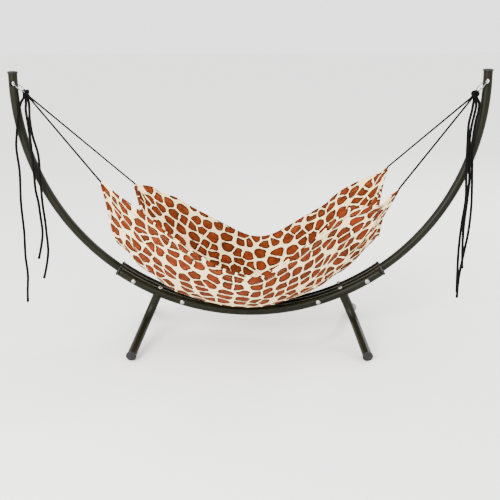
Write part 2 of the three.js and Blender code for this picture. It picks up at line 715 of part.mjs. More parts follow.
// Hanging tails: the hand-chosen points of each route, from the knot down
const tailRoutes = {
  left_tail_1: [
    [-443, -6, 479], [-446, -11, 467], [-449, -16, 445], [-453, -18, 420], [-456, -18, 393],
    [-453, -18, 345], [-455, -18, 283], [-453, -18, 222], [-454, -18, 172], [-452, -18, 135],
    [-455, -18, 98], [-456, -18, 77],
  ],
  left_tail_2: [
    [-433.5, -9.5, 476], [-433, -15, 464], [-430, -18, 440], [-427, -18, 400], [-425, -18, 347],
    [-424, -18, 308], [-420, -18, 283], [-418, -18, 256], [-416, -18, 222], [-420, -18, 196],
    [-427, -18, 168],
  ],
  left_tail_3: [
    [-428, -1, 481], [-426, -11, 467], [-425, -20, 446], [-421, -22, 415], [-413, -22, 380],
    [-412, -22, 322], [-411, -22, 283], [-408, -22, 245], [-407, -22, 222], [-406, -22, 185],
    [-411, -22, 155], [-418, -22, 128],
  ],
  right_tail_1: [
    [436.5, -10, 471], [434, -14, 458], [428, -18, 430], [426, -18, 400], [428, -18, 360],
    [430, -18, 320], [428, -19, 285], [424, -22, 240], [423, -23, 200], [425, -23, 149],
  ],
  right_tail_2: [
    [430, -6, 474], [427, -13, 458], [422, -20, 436], [421, -23, 400], [422, -23, 340],
    [424, -23, 290], [419, -23, 240], [416, -23, 190], [416, -23, 140], [417, -23, 100],
  ],
  right_tail_3: [
    [443, -6, 474], [441, -12, 460], [435, -18, 436], [432, -18, 400], [434, -18, 350],
    [436, -18, 310], [437, -18, 270], [434, -18, 220], [428, -18, 180], [421, -18, 130],
    [419, -18, 86],
  ],
};

function addTail(parent, name) {
  const route = tailRoutes[name].map(([x, y, z]) => new THREE.Vector3(x, y, z));
  const points = [knotExit(Math.sign(route[0].x), route[0]), ...route];
  const curve = new THREE.CatmullRomCurve3(points, false, 'centripetal');
  const steps = Math.ceil(curve.getLength() / (CORD_STEP_DIAMETERS * TAIL_D));
  const spaced = curve.getSpacedPoints(steps);
  node(parent, name, sweep(spaced, circleShape(TAIL_D, CORD_SIDES)), blackCord);
}

for (const face of faces) addSpliceArc(face);
for (const side of sides) {
  addMainArc(side);
  for (const bolt of boltPlaces) addSpliceBolt(side, bolt);
  for (const face of faces) addLeg(side, face);
  addRingAndKnot(side);
  addEndCord(side);
}
addPanel();
for (const name of Object.keys(tailRoutes)) addTail(sling, name);

export default hammock;
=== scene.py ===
"""Cat hammock: a printed cloth sling hung on cords inside a half-circle of bolted steel tube."""

import bisect
import logging
import math
from dataclasses import dataclass, field
from enum import Enum

import bmesh
import bpy
from mathutils import Matrix, Vector, noise


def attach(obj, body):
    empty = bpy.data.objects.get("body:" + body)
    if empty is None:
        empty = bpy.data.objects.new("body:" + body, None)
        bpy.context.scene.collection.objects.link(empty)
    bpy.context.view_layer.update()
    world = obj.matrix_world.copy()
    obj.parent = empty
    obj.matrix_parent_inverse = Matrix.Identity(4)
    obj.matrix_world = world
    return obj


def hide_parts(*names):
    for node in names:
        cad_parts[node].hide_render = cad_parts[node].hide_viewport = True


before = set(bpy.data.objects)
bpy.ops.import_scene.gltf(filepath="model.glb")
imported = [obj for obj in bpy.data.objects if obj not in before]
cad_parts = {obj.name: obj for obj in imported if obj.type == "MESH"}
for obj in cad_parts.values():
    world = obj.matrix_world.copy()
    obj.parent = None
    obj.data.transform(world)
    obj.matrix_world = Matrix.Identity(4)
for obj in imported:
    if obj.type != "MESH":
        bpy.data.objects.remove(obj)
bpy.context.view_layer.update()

log = logging.getLogger("cat_hammock")

MM = 0.001
X_AXIS = Vector((1, 0, 0))
Y_AXIS = Vector((0, 1, 0))
Z_AXIS = Vector((0, 0, 1))
MERGE = 0.01 * MM
SHARP_DEGREES = 35.0
SOFT_SHARP_DEGREES = 60.0
CLOTH_SHARP_DEGREES = 80.0
CORD_END_INSET = 0.35
CORD_END_DOME = 0.3
CURVE_STEPS = 12


class Side(Enum):
    """The two halves of the hammock, with the sign of X on each."""

    LEFT = -1
    RIGHT = 1

    @property
    def word(self) -> str:
        """Name used in the pieces' names."""
        return self.name.lower()


class Face(Enum):
    """Front and rear, with the sign of Y on each."""

    FRONT = -1
    REAR = 1

    @property
    def word(self) -> str:
        """Name used in the pieces' names."""
        return self.name.lower()


# ---- Mesh helpers


def finish_mesh(bm: bmesh.types.BMesh, name: str, sharp_degrees: float = SHARP_DEGREES) -> bpy.types.Object:
    """Turns a bmesh into a smooth-shaded object at the origin.

    Args:
        bm: The shape, in metres, in the frame's own place. It is freed.
        name: Name of the new object and its mesh.
        sharp_degrees: Edges that turn more than this stay sharp.

    Returns:
        The new object, linked to the scene.
    """
    mesh = bpy.data.meshes.new(name)
    bm.to_mesh(mesh)
    bm.free()
    mesh.shade_smooth()
    mesh.set_sharp_from_angle(angle=math.radians(sharp_degrees))
    obj = bpy.data.objects.new(name, mesh)
    bpy.context.scene.collection.objects.link(obj)
    return obj


def apply_modifiers(obj: bpy.types.Object) -> None:
    """Replaces an object's mesh by its mesh with all modifiers applied.

    Args:
        obj: The object, which keeps its materials.
    """
    graph = bpy.context.evaluated_depsgraph_get()
    made = bpy.data.meshes.new_from_object(obj.evaluated_get(graph))
    obj.modifiers.clear()
    old = obj.data
    made.name = old.name
    obj.data = made
    bpy.data.meshes.remove(old)


def cut(obj: bpy.types.Object, cutter: bpy.types.Object) -> None:
    """Cuts one closed shape out of another and deletes the cutter.

    Args:
        obj: The piece that is cut.
        cutter: The closed shape that is taken away.
    """
    boolean = obj.modifiers.new("cut", "BOOLEAN")
    boolean.operation = "DIFFERENCE"
    boolean.solver = "EXACT"
    boolean.object = cutter
    apply_modifiers(obj)
    bpy.data.objects.remove(cutter)


def turned(profile: list[tuple[float, float]], name: str, sides: int, round_edge: float = 0.0) -> bmesh.types.BMesh:
    """Spins a profile round +Z, as a lathe does.

    Args:
        profile: Radius and height of each point, in metres, from axis to axis.
        name: Name used in the log.
        sides: Number of steps in the full turn.
        round_edge: Width by which sharp edges are rounded.

    Returns:
        The closed shape as a bmesh.
    """
    bm = bmesh.new()
    points = [bm.verts.new((radius, 0, height)) for radius, height in profile]
    edges = [bm.edges.new(pair) for pair in zip(points, points[1:])]
    bmesh.ops.spin(
        bm, geom=points + edges, cent=(0, 0, 0), axis=Z_AXIS, angle=2 * math.pi, steps=sides, use_merge=True
    )
    bmesh.ops.remove_doubles(bm, verts=bm.verts, dist=MERGE)
    bmesh.ops.recalc_face_normals(bm, faces=bm.faces)
    if round_edge:
        bevel_sharp(bm, round_edge)
    log.debug("turned %s with %d faces", name, len(bm.faces))
    return bm


def bevel_sharp(bm: bmesh.types.BMesh, width: float, segments: int = 2, angle: float = 30.0) -> None:
    """Rounds every edge of a shape that turns more than an angle.

    Args:
        bm: The shape.
        width: Width of the rounding.
        segments: Number of steps in the rounding.
        angle: Smallest turn, in degrees, that is rounded.
    """
    sharp = [e for e in bm.edges if len(e.link_faces) == 2 and e.calc_face_angle() > math.radians(angle)]
    bmesh.ops.bevel(
        bm, geom=sharp, offset=width, affect="EDGES", segments=segments, profile=0.5, material=-1, clamp_overlap=True
    )


def placed(bm: bmesh.types.BMesh, place: Vector, direction: Vector) -> bmesh.types.BMesh:
    """Moves a shape so that its origin and +Z lie on a place and a direction.

    Args:
        bm: The shape, made round its own origin and +Z.
        place: Where its origin goes.
        direction: Where its +Z points.

    Returns:
        The same shape.
    """
    turn = Z_AXIS.rotation_difference(direction.normalized()).to_matrix().to_4x4()
    bmesh.ops.transform(bm, matrix=Matrix.Translation(place) @ turn, verts=bm.verts)
    return bm


def rod(radius: float, start: Vector, finish: Vector, name: str, sides: int = 32) -> bpy.types.Object:
    """Makes a plain closed rod between two points, for use as a cutter.

    Args:
        radius: Radius of the rod, or of the corners where it has few sides.
        start: Middle of its first end.
        finish: Middle of its last end.
        name: Name of the new object.
        sides: Number of sides of its section.

    Returns:
        The rod.
    """
    bm = bmesh.new()
    length = (finish - start).length
    bmesh.ops.create_cone(bm, cap_ends=True, segments=sides, radius1=radius, radius2=radius, depth=length)
    placed(bm, (start + finish) / 2, finish - start)
    return finish_mesh(bm, name)


class TubeRun:
    """A round wall that grows from a ring by straight runs and bends, as on a tube bender."""

    def __init__(self, radius: float, sides: int, start: Vector, direction: Vector) -> None:
        """Makes the first ring.

        Args:
            radius: Outer radius of the tube.
            sides: Number of sides of its section.
            start: Middle of the first ring.
            direction: Direction in which the tube leaves it.
        """
        self.bm = bmesh.new()
        ring = bmesh.ops.create_circle(self.bm, cap_ends=False, segments=sides, radius=radius)
        placed(self.bm, start, direction)
        self.first = list({edge for vert in ring["verts"] for edge in vert.link_edges})
        self.edges = list(self.first)

    def straight(self, move: Vector, steps: int = 1) -> None:
        """Pushes the last ring along a straight line in equal steps.

        Args:
            move: The whole way.
            steps: Number of rings on the way.
        """
        for _ in range(steps):
            made = bmesh.ops.extrude_edge_only(self.bm, edges=self.edges)["geom"]
            verts = [item for item in made if isinstance(item, bmesh.types.BMVert)]
            bmesh.ops.translate(self.bm, vec=move / steps, verts=verts)
            self.edges = [e for e in made if isinstance(e, bmesh.types.BMEdge) and all(v in verts for v in e.verts)]

    def bend(self, centre: Vector, axis: Vector, angle: float, steps: int) -> None:
        """Turns the last ring round an axis in equal steps.

        Args:
            centre: A point on the axis.
            axis: Direction of the axis.
            angle: The whole turn, in radians.
            steps: Number of rings on the way.
        """
        verts = list({v for e in self.edges for v in e.verts})
        made = bmesh.ops.spin(
            self.bm, geom=verts + self.edges, cent=centre, axis=axis, angle=angle, steps=steps, use_duplicate=False
        )["geom_last"]
        self.edges = [item for item in made if isinstance(item, bmesh.types.BMEdge)]

    def closed(self) -> bmesh.types.BMesh:
        """Closes both ends and returns the solid bar.

        Returns:
            The closed shape.
        """
        bmesh.ops.edgeloop_fill(self.bm, edges=self.first)
        bmesh.ops.edgeloop_fill(self.bm, edges=self.edges)
        bmesh.ops.recalc_face_normals(self.bm, faces=self.bm.faces)
        return self.bm

    def walled(self, name: str, wall: float) -> bpy.types.Object:
        """Gives the open run its wall and returns it as an object.

        Args:
            name: Name of the new object.
            wall: Thickness of the wall, which grows inwards.

        Returns:
            The tube.
        """
        bmesh.ops.recalc_face_normals(self.bm, faces=self.bm.faces)
        obj = finish_mesh(self.bm, name)
        solidify = obj.modifiers.new("wall", "SOLIDIFY")
        solidify.thickness = wall
        solidify.offset = -1
        apply_modifiers(obj)
        return obj


def smooth_route(points: list[Vector], spacing: float) -> list[Vector]:
    """Runs a smooth curve through points and returns evenly spaced points on it.

    Args:
        points: The points of the route, in order.
        spacing: Distance between the returned points, in metres.

    Returns:
        The points on the curve, with both ends of the route.
    """
    ends = [points[0] * 2 - points[1], *points, points[-1] * 2 - points[-2]]
    fine = [points[0].copy()]
    for before, start, finish, after in zip(ends, ends[1:], ends[2:], ends[3:]):
        gaps = [max((b - a).length, 1e-9) ** 0.5 for a, b in ((before, start), (start, finish), (finish, after))]
        t0, t1 = 0.0, gaps[0]
        t2, t3 = t1 + gaps[1], t1 + gaps[1] + gaps[2]
        for step in range(1, CURVE_STEPS + 1):
            t = t1 + (t2 - t1) * step / CURVE_STEPS
            a = before.lerp(start, (t - t0) / (t1 - t0))
            b = start.lerp(finish, (t - t1) / (t2 - t1))
            c = finish.lerp(after, (t - t2) / (t3 - t2))
            fine.append(a.lerp(b, (t - t0) / (t2 - t0)).lerp(b.lerp(c, (t - t1) / (t3 - t1)), (t - t1) / (t2 - t1)))
    return evenly(fine, spacing)


def evenly(points: list[Vector], spacing: float) -> list[Vector]:
    """Returns points at equal steps along a chain of points, with both its ends.

    Args:
        points: The points of the chain, in order.
        spacing: Longest distance between two of the returned points.

    Returns:
        The points, with both ends of the chain.
    """
    total = route_length(points)
    count = max(2, math.ceil(total / spacing))
    step = total / count
    found = [points[0].copy()]
    walked = 0.0
    for a, b in zip(points, points[1:]):
        length = (b - a).length
        while len(found) < count and walked + length >= step * len(found) - 1e-12:
            found.append(a.lerp(b, (step * len(found) - walked) / length))
        walked += length
    found.append(points[-1].copy())
    return found


def route_length(points: list[Vector]) -> float:
    """Returns the length of a chain of points."""
    return sum((b - a).length for a, b in zip(points, points[1:]))


def corded(
    name: str, points: list[Vector], radii: list[float], sides: int, end_round: bool = True
) -> bpy.types.Object:
    """Sweeps a round section along points and gives it a UV map in metres.

    Args:
        name: Name of the new object.
        points: Middle of each ring.
        radii: Radius of each ring.
        sides: Number of sides of the section.
        end_round: Whether both ends are closed and rounded.

    Returns:
        The tube, with U along it and V round it, both in metres.
    """
    bm = bmesh.new()
    uv = bm.loops.layers.uv.new("UVMap")
    direction = (points[1] - points[0]).normalized()
    ring = bmesh.ops.create_circle(bm, cap_ends=False, segments=sides, radius=1.0)["verts"]
    turn = Z_AXIS.rotation_difference(direction)
    rim = [turn @ v.co for v in ring]
    for vert, offset in zip(ring, rim):
        vert.co = points[0] + offset * radii[0]
    edges = [bm.edges.get((ring[i - 1], ring[i])) for i in range(sides)]
    rows = [ring]
    along = [0.0]
    for i in range(1, len(points)):
        made = bmesh.ops.extrude_edge_only(bm, edges=edges)["geom"]
        ahead = points[min(i + 1, len(points) - 1)] - points[i - 1]
        twist = direction.rotation_difference(ahead.normalized())
        direction = ahead.normalized()
        rim = [twist @ offset for offset in rim]
        new = [v for v in made if isinstance(v, bmesh.types.BMVert)]
        order = [next(e.other_vert(old) for e in old.link_edges if e.other_vert(old) in new) for old in rows[-1]]
        for vert, offset in zip(order, rim):
            vert.co = points[i] + offset * radii[i]
        edges = [bm.edges.get((order[k - 1], order[k])) for k in range(sides)]
        rows.append(order)
        along.append(along[-1] + (points[i] - points[i - 1]).length)
    place = {v: (along[r], k) for r, row in enumerate(rows) for k, v in enumerate(row)}
    around = 2 * math.pi * radii[len(radii) // 2] / sides
    for face in bm.faces:
        columns = [place[loop.vert][1] for loop in face.loops]
        wraps = max(columns) - min(columns) > 1
        for loop in face.loops:
            u, k = place[loop.vert]
            loop[uv].uv = (u, (k + sides if wraps and k == 0 else k) * around)
    if end_round:
        for row, outward, radius in ((rows[0], points[0] - points[1], radii[0]), (rows[-1], direction, radii[-1])):
            loop_edges = [bm.edges.get((row[k - 1], row[k])) for k in range(sides)]
            cap = bmesh.ops.edgeloop_fill(bm, edges=loop_edges)["faces"]
            bmesh.ops.inset_region(bm, faces=cap, thickness=radius * CORD_END_INSET, depth=0.0)
            rim_verts = list({v for f in cap for v in f.verts})
            bmesh.ops.translate(bm, vec=outward.normalized() * radius * CORD_END_DOME, verts=rim_verts)
    bmesh.ops.recalc_face_normals(bm, faces=bm.faces)
    return finish_mesh(bm, name, SOFT_SHARP_DEGREES)


def joined(name: str, pieces: list[bpy.types.Object]) -> bpy.types.Object:
    """Makes one object of several and deletes them.

    Args:
        name: Name of the new object.
        pieces: The objects, which are deleted.

    Returns:
        The new object.
    """
    bm = bmesh.new()
    for piece in pieces:
        bm.from_mesh(piece.data)
        bpy.data.objects.remove(piece)
    return finish_mesh(bm, name, SOFT_SHARP_DEGREES)


# ---- Finishes


def linear(hex_code: str) -> tuple[float, float, float, float]:
    """Turns an sRGB hex colour into linear values with full alpha.

    Args:
        hex_code: The colour as # and six hexadecimal digits.

    Returns:
        Red, green, blue and alpha from 0 to 1.
    """
    channels = [int(hex_code[i : i + 2], 16) / 255 for i in (1, 3, 5)]
    red, green, blue = (c / 12.92 if c <= 0.04045 else ((c + 0.055) / 1.055) ** 2.4 for c in channels)
    return red, green, blue, 1.0


def add(tree: bpy.types.NodeTree, kind: str, values: dict | None = None, **settings) -> bpy.types.Node:
    """Adds a node, sets its properties and fills or links its inputs.

    Args:
        tree: The material's node tree.
        kind: Type name of the node.
        values: A value or an output socket for each named or numbered input.
        **settings: Properties of the node itself.

    Returns:
        The new node.
    """
    node = tree.nodes.new(kind)
    for key, value in settings.items():
        setattr(node, key, value)
    for key, value in (values or {}).items():
        if isinstance(value, bpy.types.NodeSocket):
            tree.links.new(value, node.inputs[key])
        else:
            node.inputs[key].default_value = value
    return node


def ramp_stops(node: bpy.types.Node, stops: list[tuple[float, tuple[float, float, float, float]]]) -> bpy.types.Node:
    """Sets the stops of a colour ramp and returns the node.

    Args:
        node: The colour ramp.
        stops: Position and linear colour of each stop, in order.

    Returns:
        The same node.
    """
    elements = node.color_ramp.elements
    while len(elements) < len(stops):
        elements.new(0.5)
    for element, (position, colour) in zip(elements, stops):
        element.position = position
        element.color = colour
    return node


def new_material(name: str) -> tuple[bpy.types.Material, bpy.types.NodeTree, bpy.types.Node]:
    """Makes an empty node material with a surface shader joined to its output.

    Args:
        name: Common name of the real material.

    Returns:
        The material, its node tree and its surface shader.
    """
    material = bpy.data.materials.new(name)
    material.use_nodes = True
    tree = material.node_tree
    tree.nodes.clear()
    shader = tree.nodes.new("ShaderNodeBsdfPrincipled")
    output = tree.nodes.new("ShaderNodeOutputMaterial")
    tree.links.new(shader.outputs[0], output.inputs[0])
    return material, tree, shader


def surface(shader: bpy.types.Node, tree: bpy.types.NodeTree, **values) -> None:
    """Sets or links inputs of the surface shader by name, with _ for a space.

    Args:
        shader: The surface shader.
        tree: The material's node tree.
        **values: A value or an output socket for each input.
    """
    for key, value in values.items():
        socket = shader.inputs[key.replace("_", " ")]
        if isinstance(value, bpy.types.NodeSocket):
            tree.links.new(value, socket)
        else:
            socket.default_value = value


@dataclass(frozen=True)
class PowderCoat:
    """Satin powder coat on steel tube: baked powder leaves a fine orange peel and an even sheen."""

    name: str = "powder_coated_steel"
    light: str = "#17170c"
    dark: str = "#101008"
    peel_mm: float = 1.6
    peel_height_mm: float = 0.03
    cloud_mm: float = 60.0

    def build(self) -> bpy.types.Material:
        """Builds the material.

        Returns:
            The material.
        """
        material, tree, shader = new_material(self.name)
        place = add(tree, "ShaderNodeTexCoord").outputs["Object"]
        cloud = add(tree, "ShaderNodeTexNoise", {"Vector": place, "Scale": 1 / (self.cloud_mm * MM), "Detail": 4.0})
        colour = add(tree, "ShaderNodeValToRGB", {"Fac": cloud.outputs["Fac"]})
        ramp_stops(colour, [(0.3, linear(self.dark)), (0.7, linear(self.light))])
        gloss = add(tree, "ShaderNodeMapRange", {"Value": cloud.outputs["Fac"], "To Min": 0.3, "To Max": 0.44})
        peel = add(tree, "ShaderNodeTexNoise", {"Vector": place, "Scale": 1 / (self.peel_mm * MM), "Detail": 2.0})
        bump = add(
            tree,
            "ShaderNodeBump",
            {"Height": peel.outputs["Fac"], "Strength": 0.35, "Distance": self.peel_height_mm * MM},
        )
        surface(
            shader,
            tree,
            Base_Color=colour.outputs["Color"],
            Roughness=gloss.outputs["Result"],
            Normal=bump.outputs["Normal"],
            IOR=1.5,
            Specular_IOR_Level=0.1,
        )
        return material


@dataclass(frozen=True)
class MouldedPlastic:
    """Injection-moulded polyethylene: matt black with the fine spark-eroded grain of its mould."""

    name: str = "moulded_polyethylene"
    light: str = "#181816"
    dark: str = "#0f0f0e"
    grain_mm: float = 0.5
    grain_height_mm: float = 0.04

    def build(self) -> bpy.types.Material:
        """Builds the material.

        Returns:
            The material.
        """
        material, tree, shader = new_material(self.name)
        place = add(tree, "ShaderNodeTexCoord").outputs["Object"]
        grain = add(tree, "ShaderNodeTexNoise", {"Vector": place, "Scale": 1 / (self.grain_mm * MM), "Detail": 3.0})
        colour = add(tree, "ShaderNodeValToRGB", {"Fac": grain.outputs["Fac"]})
        ramp_stops(colour, [(0.35, linear(self.dark)), (0.7, linear(self.light))])
        matt = add(tree, "ShaderNodeMapRange", {"Value": grain.outputs["Fac"], "To Min": 0.45, "To Max": 0.65})
        bump = add(
            tree,
            "ShaderNodeBump",
            {"Height": grain.outputs["Fac"], "Strength": 0.3, "Distance": self.grain_height_mm * MM},
        )
        surface(
            shader,
            tree,
            Base_Color=colour.outputs["Color"],
            Roughness=matt.outputs["Result"],
            Normal=bump.outputs["Normal"],
            IOR=1.51,
            Specular_IOR_Level=0.25,
        )
        return material


@dataclass(frozen=True)
class PlatedSteel:
    """Plated steel: bright metal with faint tumbling marks that break up its reflections."""

    name: str = "zinc_plated_steel"
    light: str = "#b4b3ae"
    dark: str = "#8e8d88"
    mark_mm: float = 2.0
    smooth: float = 0.22
    rough: float = 0.42

    def build(self) -> bpy.types.Material:
        """Builds the material.

        Returns:
            The material.
        """
        material, tree, shader = new_material(self.name)
        place = add(tree, "ShaderNodeTexCoord").outputs["Object"]
        marks = add(tree, "ShaderNodeTexNoise", {"Vector": place, "Scale": 1 / (self.mark_mm * MM), "Detail": 5.0})
        colour = add(tree, "ShaderNodeValToRGB", {"Fac": marks.outputs["Fac"]})
        ramp_stops(colour, [(0.3, linear(self.dark)), (0.7, linear(self.light))])
        gloss = add(
            tree, "ShaderNodeMapRange", {"Value": marks.outputs["Fac"], "To Min": self.smooth, "To Max": self.rough}
        )
        surface(shader, tree, Base_Color=colour.outputs["Color"], Roughness=gloss.outputs["Result"], Metallic=1.0)
        return material


@dataclass(frozen=True)
class BraidedCord:
    """Braided polyester cord: crossing yarns give it a fine diamond relief and a dull sheen; its colour holds painted
    shade, darker in the relief's low parts.
    """

    name: str = "braided_polyester_cord"
    light: str = "#0d0c0c"
    dark: str = "#050505"
    yarn_mm: float = 1.5
    relief_mm: float = 0.25

    def build(self) -> bpy.types.Material:
        """Builds the material.

        Returns:
            The material.
        """
        material, tree, shader = new_material(self.name)
        split = add(tree, "ShaderNodeSeparateXYZ", {0: add(tree, "ShaderNodeTexCoord").outputs["UV"]})
        rate = 2 * math.pi / (self.yarn_mm * MM)
        waves = []
        for operation in ("ADD", "SUBTRACT"):
            mixed = add(
                tree, "ShaderNodeMath", {0: split.outputs["X"], 1: split.outputs["Y"]}, operation=operation
            ).outputs[0]
            scaled = add(tree, "ShaderNodeMath", {0: mixed, 1: rate}, operation="MULTIPLY").outputs[0]
            waves.append(add(tree, "ShaderNodeMath", {0: scaled}, operation="SINE").outputs[0])
        braid = add(tree, "ShaderNodeMath", {0: waves[0], 1: waves[1]}, operation="MULTIPLY").outputs[0]
        height = add(tree, "ShaderNodeMapRange", {"Value": braid, "From Min": -1.0, "From Max": 1.0}).outputs[0]
        # Painted shade: the colour follows the braid's height, darker in its low parts and lighter on its crowns.
        colour = add(tree, "ShaderNodeValToRGB", {"Fac": height})
        ramp_stops(colour, [(0.15, linear(self.dark)), (0.85, linear(self.light))])
        bump = add(
            tree, "ShaderNodeBump", {"Height": height, "Strength": 0.7, "Distance": self.relief_mm * MM}
        )
        surface(
            shader,
            tree,
            Base_Color=colour.outputs["Color"],
            Normal=bump.outputs["Normal"],
            Roughness=0.7,
            Specular_IOR_Level=0.04,
            Sheen_Weight=0.005,
            Sheen_Roughness=0.4,
        )
        return material


@dataclass(frozen=True)
class PrintedCotton:
    """Plain-weave cotton canvas with a printed coat pattern: matt, slightly fuzzy, print a touch uneven."""

    name: str = "printed_cotton_canvas"
    ground: str = "#f8dfae"
    ground_shade: str = "#f2d299"
    patch_red: str = "#7a2e0f"
    patch_brown: str = "#56240b"
    patch_rim: str = "#2a150a"
    patch_length_mm: float = 28.0
    patch_width_mm: float = 23.5
    ground_gap: float = 0.13
    patch_radius: float = 0.55
    wobble: float = 0.34
    scatter: float = 0.74
    corner_round: float = 0.14
    uneven: float = 0.12
    print_blur: float = 0.012
    rim_start: float = 0.03
    rim_end: float = 0.17
    thread_mm: float = 1.1
    thread_height_mm: float = 0.12

    def weave(self, tree: bpy.types.NodeTree, uv: bpy.types.NodeSocket) -> bpy.types.NodeSocket:
        """Builds the weave's height: drawn at about twice the real thread spacing, so that it shows.

        Args:
            tree: The material's node tree.
            uv: The flat cloth's coordinates, in metres.

        Returns:
            A height from 0 to 1.
        """
        split = add(tree, "ShaderNodeSeparateXYZ", {0: uv})
        rate = math.pi / (self.thread_mm * MM)
        sines = []
        for axis in ("X", "Y"):
            scaled = add(tree, "ShaderNodeMath", {0: split.outputs[axis], 1: rate}, operation="MULTIPLY")
            sines.append(add(tree, "ShaderNodeMath", {0: scaled.outputs[0]}, operation="SINE").outputs[0])
        crossing = add(tree, "ShaderNodeMath", {0: sines[0], 1: sines[1]}, operation="MULTIPLY")
        return add(
            tree, "ShaderNodeMapRange", {"Value": crossing.outputs[0], "From Min": -1.0, "From Max": 1.0}
        ).outputs[0]

    def patches(self, tree: bpy.types.NodeTree, uv: bpy.types.NodeSocket) -> bpy.types.NodeSocket:
        """Builds the print: rounded brown patches with darker rims in a net of cream ground.

        Args:
            tree: The material's node tree.
            uv: The flat cloth's coordinates, in metres.

        Returns:
            The printed colour.
        """
        scale = (1 / (self.patch_length_mm * MM), 1 / (self.patch_width_mm * MM), 0.0)
        cell = add(tree, "ShaderNodeVectorMath", {0: uv, 1: scale}, operation="MULTIPLY").outputs[0]
        bend = add(tree, "ShaderNodeTexNoise", {"Vector": cell, "Scale": 0.9, "Detail": 1.5})
        centred = add(
            tree, "ShaderNodeVectorMath", {0: bend.outputs["Color"], 1: (0.5, 0.5, 0.5)}, operation="SUBTRACT"
        )
        pushed = add(
            tree, "ShaderNodeVectorMath", {0: centred.outputs[0], "Scale": self.wobble}, operation="SCALE"
        )
        warped = add(tree, "ShaderNodeVectorMath", {0: cell, 1: pushed.outputs[0]}, operation="ADD").outputs[0]
        voronoi = {"Vector": warped, "Scale": 1.0, "Randomness": self.scatter}
        edge = add(
            tree, "ShaderNodeTexVoronoi", voronoi, voronoi_dimensions="2D", feature="DISTANCE_TO_EDGE"
        ).outputs["Distance"]
        cells = add(tree, "ShaderNodeTexVoronoi", voronoi, voronoi_dimensions="2D", feature="F1")
        half_gap = self.ground_gap / 2
        from_round = add(
            tree,
            "ShaderNodeMath",
            {0: self.patch_radius + half_gap, 1: cells.outputs["Distance"]},
            operation="SUBTRACT",
        ).outputs[0]
        rounded = add(
            tree, "ShaderNodeMath", {0: edge, 1: from_round, 2: self.corner_round}, operation="SMOOTH_MIN"
        ).outputs[0]
        wide = add(tree, "ShaderNodeTexNoise", {"Vector": cell, "Scale": 1.9, "Detail": 2.0}).outputs["Fac"]
        uneven = add(
            tree, "ShaderNodeMapRange", {"Value": wide, "To Min": -self.uneven, "To Max": self.uneven}
        ).outputs[0]
        inset = add(tree, "ShaderNodeMath", {0: rounded, 1: uneven}, operation="ADD").outputs[0]
        inside = add(
            tree,
            "ShaderNodeMapRange",
            {"Value": inset, "From Min": half_gap - self.print_blur, "From Max": half_gap + self.print_blur},
            interpolation_type="SMOOTHSTEP",
        ).outputs[0]
        depth = add(
            tree,
            "ShaderNodeMapRange",
            {"Value": inset, "From Min": half_gap + self.rim_start, "From Max": half_gap + self.rim_end},
            interpolation_type="SMOOTHSTEP",
        ).outputs[0]
        blotch = add(tree, "ShaderNodeTexNoise", {"Vector": cell, "Scale": 2.6, "Detail": 3.0}).outputs["Fac"]
        soaked = add(
            tree,
            "ShaderNodeMapRange",
            {"Value": blotch, "From Min": 0.3, "From Max": 0.62, "To Min": 0.35, "To Max": 1.0},
        ).outputs[0]
        depth = add(tree, "ShaderNodeMath", {0: depth, 1: soaked}, operation="MULTIPLY").outputs[0]
        tone = add(
            tree,
            "ShaderNodeMix",
            {0: cells.outputs["Color"], 6: linear(self.patch_red), 7: linear(self.patch_brown)},
            data_type="RGBA",
        ).outputs[2]
        rimmed = add(
            tree, "ShaderNodeMix", {0: depth, 6: linear(self.patch_rim), 7: tone}, data_type="RGBA"
        ).outputs[2]
        mottle = add(tree, "ShaderNodeTexNoise", {"Vector": cell, "Scale": 0.35, "Detail": 3.0}).outputs["Fac"]
        cream = add(
            tree,
            "ShaderNodeMix",
            {0: mottle, 6: linear(self.ground), 7: linear(self.ground_shade)},
            data_type="RGBA",
        ).outputs[2]
        return add(tree, "ShaderNodeMix", {0: inside, 6: cream, 7: rimmed}, data_type="RGBA").outputs[2]

    def build(self) -> bpy.types.Material:
        """Builds the material.

        Returns:
            The material.
        """
        material, tree, shader = new_material(self.name)
        uv = add(tree, "ShaderNodeTexCoord").outputs["UV"]
        height = self.weave(tree, uv)
        fuzz = add(tree, "ShaderNodeMapRange", {"Value": height, "To Min": 0.95, "To Max": 0.8}).outputs[0]
        bump = add(
            tree, "ShaderNodeBump", {"Height": height, "Strength": 0.5, "Distance": self.thread_height_mm * MM}
        )
        surface(
            shader,
            tree,
            Base_Color=self.patches(tree, uv),
            Roughness=fuzz,
            Normal=bump.outputs["Normal"],
            Specular_IOR_Level=0.06,
            Sheen_Weight=0.02,
            Sheen_Roughness=0.5,
        )
        return material


@dataclass(frozen=True)
class PaleFloor:
    """Plain pale studio floor."""

    name: str = "studio_floor"
    colour: str = "#f8f8f6"

    def build(self) -> bpy.types.Material:
        """Builds the material.

        Returns:
            The material.
        """
        material, tree, shader = new_material(self.name)
        surface(shader, tree, Base_Color=linear(self.colour), Roughness=0.9)
        return material


@dataclass(frozen=True)
class Finishes:
    """The built materials, each made once."""

    coat: bpy.types.Material = field(default_factory=lambda: PowderCoat().build())
    plastic: bpy.types.Material = field(default_factory=lambda: MouldedPlastic().build())
    zinc: bpy.types.Material = field(default_factory=lambda: PlatedSteel().build())
    chrome: bpy.types.Material = field(
        default_factory=lambda: PlatedSteel("chromed_wire", "#8c8c8c", "#6a6a6a", 3.0, 0.1, 0.2).build()
    )
    cord: bpy.types.Material = field(default_factory=lambda: BraidedCord().build())
    cloth: bpy.types.Material = field(default_factory=lambda: PrintedCotton().build())
    # The sewing thread uses the same braid, with the same painted shade in its low parts.
    thread: bpy.types.Material = field(
        default_factory=lambda: BraidedCord("cotton_sewing_thread", "#b08a5c", "#946f46", 0.5, 0.06).build()
    )


